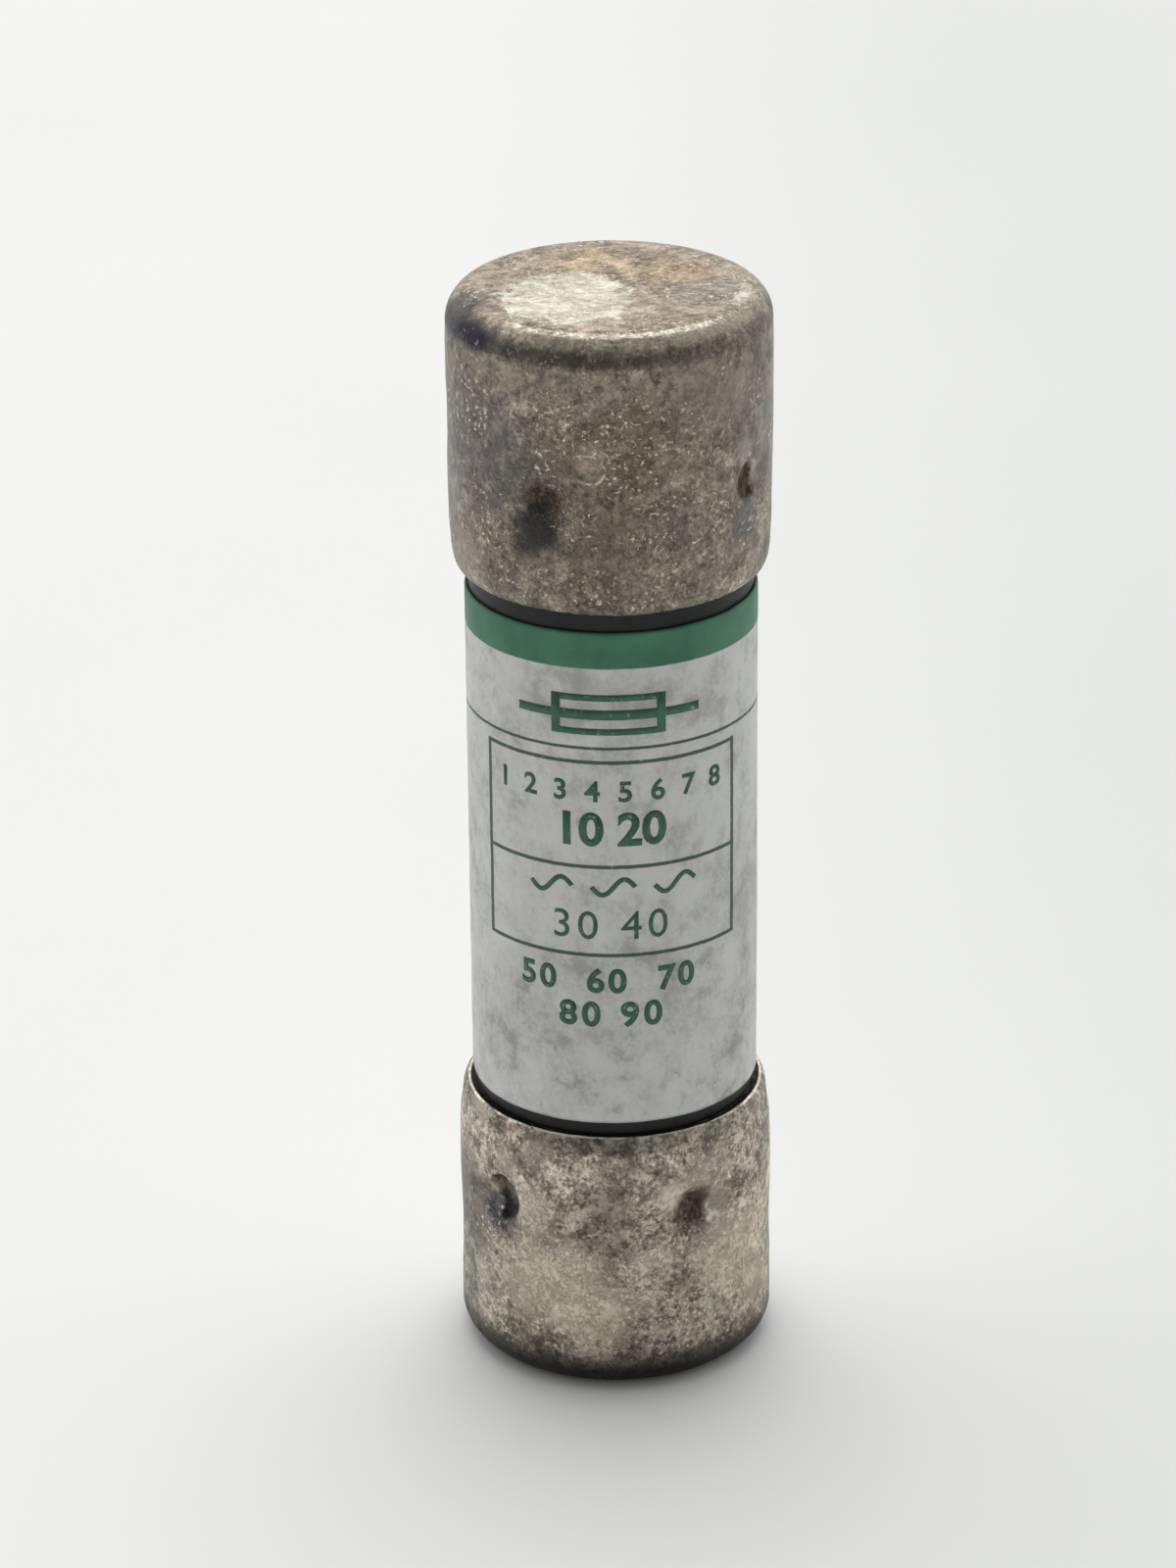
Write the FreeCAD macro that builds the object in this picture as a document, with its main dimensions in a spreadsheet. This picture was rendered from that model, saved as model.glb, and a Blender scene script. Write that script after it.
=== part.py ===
import FreeCAD, Part
import math
import os
import re

import Sketcher

# A cylindrical cartridge fuse, standing on its lower ferrule. Millimetres, +Z up the fuse's axis, with
# the origin at the centre of the lower end. A laminate tube carries two drawn ferrules that are staked
# into it. A punched silver ribbon runs up the tube through slotted washers, its ends are soldered to the
# ferrules' end walls, and quartz sand fills the bore round it. A paper label is wrapped round the tube.

# The driving sizes: the name each has in the sheet, its value and what it measures.
SIZES = [
    ("overall_length", 50.8, "end face to end face"),
    ("cap_diameter", 14.3, "outside of the ferrules"),
    ("cap_length", 12.75, "end face to mouth of a ferrule"),
    ("cap_wall", 0.75, "sheet thickness of a ferrule"),
    ("corner_radius", 1.4, "outer rounding at the closed end of a ferrule"),
    ("crest_width", 0.5, "flat ring on which the end face stands"),
    ("dish_depth", 0.15, "hollow of the end face inside that ring"),
    ("lip_length", 1.3, "height over which the mouth is rolled inwards"),
    ("lip_drop", 0.5, "how far the roll takes the outer surface inwards"),
    ("lip_edge", 0.45, "width of the rolled mouth's edge face"),
    ("stake_count", 4, "stakes round each ferrule"),
    ("stake_height", 8.35, "closed end of a ferrule to its stakes"),
    ("stake_depth", 1.25, "outer surface to the inner tip of a stake"),
    ("stake_tip", 0.8, "radius of a stake's tip"),
    ("stake_root", 1.2, "radius of a stake where it leaves the bore"),
    ("stake_mouth", 1.0, "radius of a stake's bowl at the outer surface"),
    ("stake_skin", 0.3, "metal left under a stake's bowl"),
    ("slit_width", 0.35, "width of the crescent that pierces a stake"),
    ("slit_spread", 60, "degrees that the crescent runs to each side of its middle"),
    ("lower_turn", 36, "degrees that the lower stakes are turned about the axis"),
    ("upper_turn", 64, "degrees that the upper stakes are turned about the axis"),
    ("tube_fit", 0.05, "clearance between the tube and a ferrule, and round a stake"),
    ("tube_wall", 1.6, "wall of the tube"),
    ("tube_chamfer", 0.3, "chamfer on the tube's outer end corners"),
    ("solder_thickness", 0.5, "solder between a ferrule's end wall and the washer"),
    ("solder_margin", 0.4, "how far the solder stays inside the ferrule's corner"),
    ("washer_thickness", 0.8, "thickness of a slotted washer"),
    ("slot_fit", 0.15, "clearance round the ribbon in a washer's slot"),
    ("ribbon_width", 3.0, "width of the fuse ribbon"),
    ("ribbon_thickness", 0.2, "thickness of the fuse ribbon"),
    ("tab_length", 3.5, "axis to the end of the ribbon's folded tab"),
    ("neck_rows", 5, "rows of constrictions along the ribbon"),
    ("neck_pitch", 7.0, "spacing of those rows"),
    ("neck_radius", 0.55, "radius of each punched hole and side notch"),
    ("sand_fit", 0.02, "clearance between the sand and the bore"),
    ("label_gap_lower", 0.55, "lower ferrule's mouth to the label"),
    ("label_gap_upper", 0.9, "label to the upper ferrule's mouth"),
    ("label_fit", 0.02, "adhesive between the tube and the label"),
    ("label_paper", 0.15, "thickness of the label"),
    ("label_lap", 3.0, "width over which the label's ends lap at the back"),
]

# Places that several pieces share, each worked out from the sizes. Heights are from a closed end.
CAP_RADIUS = "cap_diameter / 2"
BORE_RADIUS = "cap_diameter / 2 - cap_wall"
CORNER_START = "cap_diameter / 2 - corner_radius"
CREST_INNER = "cap_diameter / 2 - corner_radius - crest_width"
DISH_RADIUS = f"(({CREST_INNER})^2 + dish_depth^2) / (2 * dish_depth)"
LIP_START = "cap_length - lip_length"
TUBE_RADIUS = f"{BORE_RADIUS} - tube_fit"
LIP_BITE = "lip_drop + lip_edge - cap_wall"
SEAT_ARC = f"(lip_length^2 + ({LIP_BITE})^2) / (2 * ({LIP_BITE}))"
END_WALL = "cap_wall + dish_depth"
WASHER_FACE = f"{END_WALL} + solder_thickness"
TUBE_END = f"{WASHER_FACE} + washer_thickness"
TUBE_BORE = f"{TUBE_RADIUS} - tube_wall"
TIP_RADIUS = f"{CAP_RADIUS} - stake_depth"
LABEL_INNER = f"{TUBE_RADIUS} + label_fit"

SHEET = "Sizes"
AXIS_ACROSS = {"X": -2, "Y": -1}
ENDS = (("lower", False, "lower_turn"), ("upper", True, "upper_turn"))


def bound(text):
    """The expression with each size in it read from the sheet."""
    return re.sub(r"[a-z]\w+\b(?!\()", SHEET + r".\g<0>", text)


def number(text):
    """The value that an expression of the sizes has now."""
    probe.setExpression("value", bound(text))
    probe.recompute()
    return probe.value


def make_sheet():
    """Write the driving sizes, a row each: the name, the value under that alias, and its meaning."""
    sheet = doc.addObject("Spreadsheet::Sheet", SHEET)
    for row, (name, value, meaning) in enumerate(SIZES, start=1):
        sheet.set(f"A{row}", name)
        sheet.set(f"B{row}", str(value))
        sheet.set(f"C{row}", meaning)
        sheet.setAlias(f"B{row}", name)
    doc.recompute()


def make_probe():
    """A helper object that turns an expression into a number, for the sketches' first geometry."""
    helper = doc.addObject("App::FeaturePython", "Probe")
    helper.addProperty("App::PropertyFloat", "value")
    return helper


def new_body(name):
    """An empty body with the piece's name."""
    body = doc.addObject("PartDesign::Body", name)
    body.Label = name
    return body


def datum(body, role):
    """One of the body's own origin planes or axes."""
    return next(item for item in body.Origin.OriginFeatures if item.Role == role)


def sketch_on(body, name, plane, along=None, lift=None, turn=None):
    """A sketch on one of the body's origin planes: moved along its own vertical axis, lifted off the
    plane, and turned in degrees about that vertical axis."""
    sketch = body.newObject("Sketcher::SketchObject", name)
    sketch.AttachmentSupport = [(datum(body, plane), "")]
    sketch.MapMode = "FlatFace"
    if turn:
        turned = FreeCAD.Rotation(FreeCAD.Vector(0, 1, 0), number(turn))
        sketch.AttachmentOffset = FreeCAD.Placement(FreeCAD.Vector(), turned)
        sketch.setExpression("AttachmentOffset.Rotation.Angle", bound(turn) + " * 1 deg")
    if along:
        sketch.setExpression("AttachmentOffset.Base.y", bound(along))
    if lift:
        sketch.setExpression("AttachmentOffset.Base.z", bound(lift))
    return sketch


def constrain(sketch, kind, *terms):
    """A constraint whose size, its last term, follows an expression."""
    *places, text = terms
    index = sketch.addConstraint(Sketcher.Constraint(kind, *places, number(text)))
    sketch.setExpression(f"Constraints[{index}]", bound(text))


def place_point(sketch, edge, end, x, y):
    """Hold one end of an edge at x and y, given as expressions."""
    for axis, text in (("X", x), ("Y", y)):
        if text == "0":
            on_axis = Sketcher.Constraint("PointOnObject", edge, end, AXIS_ACROSS[axis])
            sketch.addConstraint(on_axis)
        else:
            constrain(sketch, "Distance" + axis, -1, 1, edge, end, text)


def arc_between(start, end, radius, turn):
    """The shorter arc from start to end: anticlockwise where turn is 1, clockwise where it is -1."""
    chord = end - start
    rise = math.sqrt(radius**2 - (chord.Length / 2) ** 2)
    left = FreeCAD.Vector(-chord.y, chord.x, 0).normalize()
    centre = (start + end) / 2 + left * (turn * rise)
    first, last = (start, end) if turn > 0 else (end, start)
    angles = [math.atan2(point.y - centre.y, point.x - centre.x) for point in (first, last)]
    return Part.ArcOfCircle(Part.Circle(centre, FreeCAD.Vector(0, 0, 1), radius), *angles)


def outline(sketch, corners):
    """A closed outline. A corner is (x, y), or (x, y, radius, turn) where an arc leaves it."""
    places = [FreeCAD.Vector(number(corner[0]), number(corner[1]), 0) for corner in corners]
    ends = []
    for index, corner in enumerate(corners):
        start, end = places[index], places[(index + 1) % len(corners)]
        if len(corner) == 2:
            edge = sketch.addGeometry(Part.LineSegment(start, end))
            ends.append((edge, 1, 2))
            continue
        radius, turn = corner[2:]
        edge = sketch.addGeometry(arc_between(start, end, number(radius), turn))
        ends.append((edge, 1, 2) if turn > 0 else (edge, 2, 1))
        constrain(sketch, "Radius", edge, radius)
    for index, corner in enumerate(corners):
        edge, first, _ = ends[index]
        before, _, last = ends[index - 1]
        sketch.addConstraint(Sketcher.Constraint("Coincident", before, last, edge, first))
        place_point(sketch, edge, first, corner[0], corner[1])


def circle(sketch, x, y, radius):
    """A circle at x and y with the given radius, all expressions."""
    middle = FreeCAD.Vector(number(x), number(y), 0)
    edge = sketch.addGeometry(Part.Circle(middle, FreeCAD.Vector(0, 0, 1), number(radius)))
    constrain(sketch, "Radius", edge, radius)
    place_point(sketch, edge, 3, x, y)


def feature(body, kind, name, sketch, **settings):
    """A PartDesign feature made from a sketch."""
    made = body.newObject("PartDesign::" + kind, name)
    made.Profile = sketch
    for setting, value in settings.items():
        setattr(made, setting, value)
    return made


def spin(body, kind, name, sketch, axis):
    """A full turn of the sketch about its own vertical or horizontal axis."""
    return feature(body, kind, name, sketch, ReferenceAxis=(sketch, [axis]), Angle=360)


def around(body, name, originals):
    """Repeat features about the fuse's axis, one for each stake."""
    doc.recompute()
    pattern = body.newObject("PartDesign::PolarPattern", name)
    pattern.Originals = originals
    pattern.Axis = (datum(body, "Z_Axis"), [""])
    pattern.Angle = 360
    pattern.setExpression("Occurrences", bound("stake_count"))
    body.Tip = pattern


def set_at_end(piece, upper, turn="0"):
    """Leave a piece at the lower end, or turn it over onto the upper end, with a turn about the axis."""
    over = FreeCAD.Rotation(FreeCAD.Vector(1, 0, 0), 180 if upper else 0)
    about = FreeCAD.Rotation(FreeCAD.Vector(0, 0, 1), number(turn))
    piece.Placement = FreeCAD.Placement(FreeCAD.Vector(), about * over)
    if upper:
        piece.setExpression("Placement.Base.z", bound("overall_length"))


def make_cup(body):
    """The drawn cup of a ferrule, closed end down: dished face, crest ring, corner, wall, rolled lip."""
    roll_arc = "(lip_length^2 + lip_drop^2) / (2 * lip_drop)"
    sketch = sketch_on(body, "CupSection", "XZ_Plane")
    outline(
        sketch,
        [
            ("0", "dish_depth", DISH_RADIUS, -1),
            (CREST_INNER, "0"),
            (CORNER_START, "0", "corner_radius", 1),
            (CAP_RADIUS, "corner_radius"),
            (CAP_RADIUS, LIP_START, roll_arc, 1),
            (f"{CAP_RADIUS} - lip_drop", "cap_length"),
            (f"{CAP_RADIUS} - lip_drop - lip_edge", "cap_length", SEAT_ARC, -1),
            (BORE_RADIUS, LIP_START),
            (BORE_RADIUS, "corner_radius", "corner_radius - cap_wall", -1),
            (CORNER_START, "cap_wall"),
            (CREST_INNER, "cap_wall", DISH_RADIUS, 1),
            ("0", END_WALL),
        ],
    )
    spin(body, "Revolution", "Cup", sketch, "V_Axis")


def make_stakes(body, upper):
    """The stakes of a ferrule: a nub inside the wall, a bowl outside it, and a crescent that pierces the
    side of the bowl that faces up when the fuse stands."""
    nub_sketch = sketch_on(body, "NubSection", "XZ_Plane", along="stake_height")
    nub = [
        (TIP_RADIUS, "0"),
        (f"{CAP_RADIUS} - cap_wall / 2", "0"),
        (f"{CAP_RADIUS} - cap_wall / 2", "stake_root"),
        (BORE_RADIUS, "stake_root"),
        (TIP_RADIUS, "stake_tip"),
    ]
    outline(nub_sketch, nub)
    nubs = spin(body, "Revolution", "Nub", nub_sketch, "H_Axis")

    bowl_sketch = sketch_on(body, "BowlSection", "XZ_Plane", along="stake_height")
    bowl = [
        (f"{TIP_RADIUS} + stake_skin", "0"),
        (f"{CAP_RADIUS} + cap_wall", "0"),
        (f"{CAP_RADIUS} + cap_wall", "stake_mouth"),
        (CAP_RADIUS, "stake_mouth"),
        (f"{TIP_RADIUS} + stake_skin", "stake_tip - stake_skin"),
    ]
    outline(bowl_sketch, bowl)
    bowls = spin(body, "Groove", "Bowl", bowl_sketch, "H_Axis")

    slit_sketch = sketch_on(body, "SlitOutline", "YZ_Plane", along="stake_height", lift=CAP_RADIUS)
    side = "-" if upper else ""
    turn = -1 if upper else 1
    inner_arc = "stake_tip - slit_width"
    across, up = "sin(slit_spread)", "cos(slit_spread)"
    slit = [
        (f"stake_tip * {across}", f"{side}stake_tip * {up}", "stake_tip", turn),
        (f"-stake_tip * {across}", f"{side}stake_tip * {up}"),
        (f"-({inner_arc}) * {across}", f"{side}({inner_arc}) * {up}", inner_arc, -turn),
        (f"({inner_arc}) * {across}", f"{side}({inner_arc}) * {up}"),
    ]
    outline(slit_sketch, slit)
    slits = feature(body, "Pocket", "Slit", slit_sketch)
    slits.setExpression("Length", bound("stake_depth + cap_wall"))
    around(body, "Stakes", [nubs, bowls, slits])


def make_ferrule(end, upper, turn):
    body = new_body("ferrule_" + end)
    make_cup(body)
    make_stakes(body, upper)
    set_at_end(body, upper, turn)
    return body


def cut_sockets(body, end, upper, turn):
    """The pockets in the tube that one ferrule's stakes press into."""
    height = "overall_length - stake_height" if upper else "stake_height"
    sketch = sketch_on(body, f"Socket_{end}", "XZ_Plane", along=height, turn=turn)
    socket = [
        (f"{TIP_RADIUS} - tube_fit", "0"),
        (CAP_RADIUS, "0"),
        (CAP_RADIUS, "stake_root + tube_fit"),
        (BORE_RADIUS, "stake_root + tube_fit"),
        (f"{TIP_RADIUS} - tube_fit", "stake_tip + tube_fit"),
    ]
    outline(sketch, socket)
    around(body, f"Sockets_{end}", [spin(body, "Groove", f"Pocket_{end}", sketch, "H_Axis")])


def tube_end_corners(upper):
    """The tube's outer corners at one end, from that end inwards: chamfer, ferrule seat, lip groove."""
    groove = f"{TUBE_RADIUS} - ({LIP_BITE})"
    corners = [
        (f"{TUBE_RADIUS} - tube_chamfer", TUBE_END),
        (TUBE_RADIUS, f"{TUBE_END} + tube_chamfer"),
        (TUBE_RADIUS, LIP_START, SEAT_ARC, 1),
        (groove, "cap_length"),
        (groove, "cap_length + tube_fit"),
        (TUBE_RADIUS, "cap_length + tube_fit"),
    ]
    if not upper:
        return corners
    flipped = [(x, f"overall_length - ({height})") for x, height, *_ in reversed(corners)]
    flipped[2] += (SEAT_ARC, 1)
    return flipped


def make_tube():
    """The laminate tube: a bore, a seat and a rolled-lip groove at each end, and the stakes' pockets."""
    body = new_body("tube")
    sketch = sketch_on(body, "TubeSection", "XZ_Plane")
    bore_ends = [(TUBE_BORE, f"overall_length - ({TUBE_END})"), (TUBE_BORE, TUBE_END)]
    outline(sketch, tube_end_corners(False) + tube_end_corners(True) + bore_ends)
    spin(body, "Revolution", "Tube", sketch, "V_Axis")
    for end, upper, turn in ENDS:
        cut_sockets(body, end, upper, turn)
    return body


def make_ribbon():
    """The fuse ribbon: straight up the axis, each end folded flat over a washer, with rows of necks."""
    body = new_body("fuse_element")
    left, right = "-ribbon_thickness / 2", "ribbon_thickness / 2"
    face = WASHER_FACE
    back = f"{face} - ribbon_thickness"
    fold = "slot_fit + ribbon_thickness"
    outside = "slot_fit + ribbon_thickness / 2"
    sketch = sketch_on(body, "RibbonEdge", "XZ_Plane")
    lower = [
        (right, f"{face} + slot_fit", "slot_fit", 1),
        (f"{right} + slot_fit", face),
        ("tab_length", face),
        ("tab_length", back),
        (outside, back, fold, -1),
        (left, f"{back} + {fold}"),
    ]
    upper = [
        (left, f"overall_length - ({face} + slot_fit)", "slot_fit", 1),
        (f"{left} - slot_fit", f"overall_length - ({face})"),
        ("-tab_length", f"overall_length - ({face})"),
        ("-tab_length", f"overall_length - ({back})"),
        (f"-({outside})", f"overall_length - ({back})", fold, -1),
        (right, f"overall_length - ({back} + {fold})"),
    ]
    outline(sketch, lower + upper)
    strip = feature(body, "Pad", "Strip", sketch, Midplane=True)
    strip.setExpression("Length", bound("ribbon_width"))

    holes = sketch_on(body, "NeckHoles", "YZ_Plane")
    first_row = "overall_length / 2 - neck_pitch * (neck_rows - 1) / 2"
    for across in ("-ribbon_width / 2", "0", "ribbon_width / 2"):
        circle(holes, across, first_row, "neck_radius")
    necks = feature(body, "Pocket", "Necks", holes, Midplane=True)
    necks.setExpression("Length", bound("ribbon_thickness * 2"))
    doc.recompute()
    rows = body.newObject("PartDesign::LinearPattern", "NeckRows")
    rows.Originals = [necks]
    rows.Direction = (datum(body, "Z_Axis"), [""])
    rows.setExpression("Length", bound("neck_pitch * (neck_rows - 1)"))
    rows.setExpression("Occurrences", bound("neck_rows"))
    body.Tip = rows
    return body


def make_washer(end, upper):
    """A fibre disc on the tube's end, inside the ferrule's corner, with a slot for the ribbon."""
    body = new_body("washer_" + end)
    disc_sketch = sketch_on(body, "DiscOutline", "XY_Plane", lift=WASHER_FACE)
    circle(disc_sketch, "0", "0", CORNER_START)
    disc = feature(body, "Pad", "Disc", disc_sketch)
    disc.setExpression("Length", bound("washer_thickness"))

    slot_sketch = sketch_on(body, "SlotOutline", "XY_Plane", lift=TUBE_END)
    half_x = "ribbon_thickness / 2 + slot_fit"
    half_y = "ribbon_width / 2 + slot_fit"
    slot = [
        (half_x, half_y),
        (f"-({half_x})", half_y),
        (f"-({half_x})", f"-({half_y})"),
        (half_x, f"-({half_y})"),
    ]
    outline(slot_sketch, slot)
    opening = feature(body, "Pocket", "Slot", slot_sketch)
    opening.setExpression("Length", bound("washer_thickness"))
    set_at_end(body, upper)
    return body


def make_solder(end, upper, ribbon):
    """The solder between a ferrule's end wall and its washer, flowed round the ribbon's folded tab."""
    blank = new_body("solder_blank_" + end)
    sketch = sketch_on(blank, "SolderSection", "XZ_Plane")
    edge = f"{CORNER_START} - solder_margin"
    section = [
        ("0", END_WALL, DISH_RADIUS, -1),
        (CREST_INNER, "cap_wall"),
        (edge, "cap_wall"),
        (edge, WASHER_FACE),
        ("0", WASHER_FACE),
    ]
    outline(sketch, section)
    spin(blank, "Revolution", "Solder", sketch, "V_Axis")
    set_at_end(blank, upper)
    return less_ribbon("solder_" + end, blank, ribbon)


def make_sand(ribbon):
    """The quartz sand between the washers, packed round the ribbon."""
    column = doc.addObject("Part::Cylinder", "SandColumn")
    column.setExpression("Radius", bound(f"{TUBE_BORE} - sand_fit"))
    column.setExpression("Height", bound(f"overall_length - 2 * ({TUBE_END})"))
    column.setExpression("Placement.Base.z", bound(TUBE_END))
    return less_ribbon("sand_filler", column, ribbon)


def less_ribbon(name, whole, ribbon):
    """A piece that fills the space round the ribbon."""
    piece = doc.addObject("Part::Cut", name)
    piece.Label = name
    piece.Base = whole
    piece.Tool = ribbon
    return piece


def make_label():
    """The paper label: one turn round the tube, its ends lapped at the back."""
    body = new_body("label")
    base = "cap_length + label_gap_lower"
    height = "overall_length - 2 * cap_length - label_gap_lower - label_gap_upper"
    outer = f"{LABEL_INNER} + label_paper"
    wrap_sketch = sketch_on(body, "WrapOutline", "XY_Plane", lift=base)
    circle(wrap_sketch, "0", "0", LABEL_INNER)
    circle(wrap_sketch, "0", "0", outer)
    wrap = feature(body, "Pad", "Wrap", wrap_sketch)

    lap_sketch = sketch_on(body, "LapOutline", "XY_Plane", lift=base)
    middle = f"{LABEL_INNER} + label_paper / 2"
    lapped = f"{outer} + label_paper"
    half = "label_lap / 2"
    lap = [
        (half, f"sqrt(({lapped})^2 - ({half})^2)", lapped, 1),
        (f"-({half})", f"sqrt(({lapped})^2 - ({half})^2)"),
        (f"-({half})", f"sqrt(({middle})^2 - ({half})^2)", middle, -1),
        (half, f"sqrt(({middle})^2 - ({half})^2)"),
    ]
    outline(lap_sketch, lap)
    overlap = feature(body, "Pad", "Lap", lap_sketch)
    for pad in (wrap, overlap):
        pad.setExpression("Length", bound(height))
    return body


def make_pieces():
    """Every piece of the fuse, from the inside outwards."""
    ribbon = make_ribbon()
    pieces = [ribbon, make_sand(ribbon), make_tube(), make_label()]
    for end, upper, turn in ENDS:
        pieces.append(make_washer(end, upper))
        pieces.append(make_solder(end, upper, ribbon))
        pieces.append(make_ferrule(end, upper, turn))
    return pieces


def check(pieces):
    """Stop if anything failed to build, if a cut removed nothing, or if a piece isn't one solid."""
    for item in doc.Objects:
        if "Invalid" in item.State or "Error" in item.State:
            raise ValueError(f"{item.Name} did not build: {item.State}")
        if item.TypeId in ("PartDesign::Pocket", "PartDesign::Groove"):
            if item.Shape.Volume >= item.BaseFeature.Shape.Volume:
                raise ValueError(f"{item.Name} removed nothing")
    for piece in pieces:
        if piece.Shape.isNull() or not piece.Shape.isValid() or len(piece.Shape.Solids) != 1:
            raise ValueError(f"{piece.Label} is not one valid solid")


doc = FreeCAD.newDocument("CartridgeFuse")
make_sheet()
probe = make_probe()
parts = make_pieces()
doc.removeObject(probe.Name)
doc.recompute()
check(parts)
os.makedirs("parts", exist_ok=True)
for part in parts:
    part.Shape.exportStep(f"parts/{part.Label}.step")
    box = part.Shape.BoundBox
    print(f"{part.Label:16} volume {part.Shape.Volume:9.3f} mm3, z {box.ZMin:.3f} to {box.ZMax:.3f}")
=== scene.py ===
import math
from collections import Counter

import bmesh
import bpy
import numpy as np
from mathutils import Matrix, Vector
from mathutils.geometry import delaunay_2d_cdt


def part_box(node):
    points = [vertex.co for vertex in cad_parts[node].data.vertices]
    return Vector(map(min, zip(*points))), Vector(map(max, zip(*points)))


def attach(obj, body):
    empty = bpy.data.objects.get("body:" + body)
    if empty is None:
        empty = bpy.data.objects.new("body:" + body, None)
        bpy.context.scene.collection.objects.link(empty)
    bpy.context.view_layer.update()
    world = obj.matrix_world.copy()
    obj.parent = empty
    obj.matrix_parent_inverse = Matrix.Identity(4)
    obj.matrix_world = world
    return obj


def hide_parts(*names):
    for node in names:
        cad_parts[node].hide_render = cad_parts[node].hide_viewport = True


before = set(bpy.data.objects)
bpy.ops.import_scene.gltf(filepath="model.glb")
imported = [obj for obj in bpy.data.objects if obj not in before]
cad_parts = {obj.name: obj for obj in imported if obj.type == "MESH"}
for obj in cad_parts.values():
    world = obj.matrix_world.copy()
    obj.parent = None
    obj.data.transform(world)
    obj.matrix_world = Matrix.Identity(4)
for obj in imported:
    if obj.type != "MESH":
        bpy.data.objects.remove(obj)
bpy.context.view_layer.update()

# A cartridge fuse standing on its lower ferrule. The CAD gives the sizes in metres, and the shapes below
# are made in millimetres. An azimuth is measured about the axis: 0 faces -Y and 90 faces +X.
MM = 0.001
QUALITY = 1.0


def low(node):
    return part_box(node)[0][2] / MM


def high(node, axis=2):
    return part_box(node)[1][axis] / MM


LENGTH = high("ferrule_upper")
CAP_RADIUS = high("ferrule_lower", 0)
CAP_LENGTH = high("ferrule_lower") - low("ferrule_lower")
TUBE_RADIUS = high("tube", 0)
LABEL_BOTTOM = low("label") + 0.08
LABEL_TOP = high("label") + 0.02
PAPER = 0.12


# ---- numbers to shapes

def smooth(value, start, end):
    """0 before start and 1 after end, with a smooth rise."""
    t = np.clip((value - start) / (end - start), 0, 1)
    return t * t * (3 - 2 * t)


def waves(points, size, seed):
    """Smooth noise between about -1 and 1, with bumps of the given size in millimetres."""
    rng = np.random.default_rng(seed)
    total = np.zeros(points.shape[:-1])
    for _ in range(14):
        direction = rng.normal(size=3)
        direction *= 2 * math.pi / (size * rng.uniform(1.4, 3.2)) / np.linalg.norm(direction)
        total += np.sin(points @ direction + rng.uniform(0, 2 * math.pi))
    return total / math.sqrt(14)


def graded(start, end, step):
    """Places from start to end, as far apart as step(place) says."""
    places = [start]
    while places[-1] < end:
        places.append(places[-1] + step(places[-1]) / QUALITY)
    places = np.array(places)
    return start + (places - start) * (end - start) / (places[-1] - start)


def around(azimuth, radius, z):
    """Points at azimuths in radians, radii and heights."""
    return np.stack([radius * np.sin(azimuth), -radius * np.cos(azimuth), z], axis=-1)


def link(name, mesh, material):
    """A piece of the fuse made from a mesh."""
    piece = bpy.data.objects.new(name, mesh)
    bpy.context.scene.collection.objects.link(piece)
    mesh.materials.append(material)
    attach(piece, "root")
    return piece


def mesh_from(name, points, faces):
    """A smooth-shaded mesh from points in millimetres, facing outwards."""
    mesh = bpy.data.meshes.new(name)
    mesh.from_pydata((points * MM).tolist(), [], faces)
    shaped = bmesh.new()
    shaped.from_mesh(mesh)
    bmesh.ops.recalc_face_normals(shaped, faces=shaped.faces)
    shaped.to_mesh(mesh)
    shaped.free()
    mesh.shade_smooth()
    return mesh


def quads(rows, columns, wrap_rows=False, wrap_columns=False):
    """The faces of a grid of points, closed on itself where wrapped."""
    grid = np.arange(rows * columns).reshape(rows, columns)
    if wrap_rows:
        grid = np.vstack([grid, grid[:1]])
    if wrap_columns:
        grid = np.hstack([grid, grid[:, :1]])
    corners = (grid[:-1, :-1], grid[:-1, 1:], grid[1:, 1:], grid[1:, :-1])
    return np.stack(corners, axis=-1).reshape(-1, 4).tolist()


# ---- ferrules

# Sizes of a ferrule. Heights are from its closed end.
STAKE_HEIGHT = 8.35
FACE_DISH = 0.15
FACE_RADIUS = 5.35
CREST_RADIUS = 5.75
CORNER = 1.4
SHEET = 0.75
MOUTH_RADIUS = 6.64
LIP = 0.07
NUB_REACH = 0.5
NUB_TIP = 0.8
NUB_ROOT = 1.2
QUARTER = math.pi / 2

# The mesh is fine within FINE_REACH of a stake and grows coarser away from it.
FINE_STEP, COARSE_STEP, MOUTH_STEP = 0.058, 0.26, 0.12
FINE_REACH, STEP_GROWTH = 1.5, 0.25

# What a ring of a ferrule's section belongs to.
PLAIN, OUTER_WALL, INNER_WALL = 0, 1, 2


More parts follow.
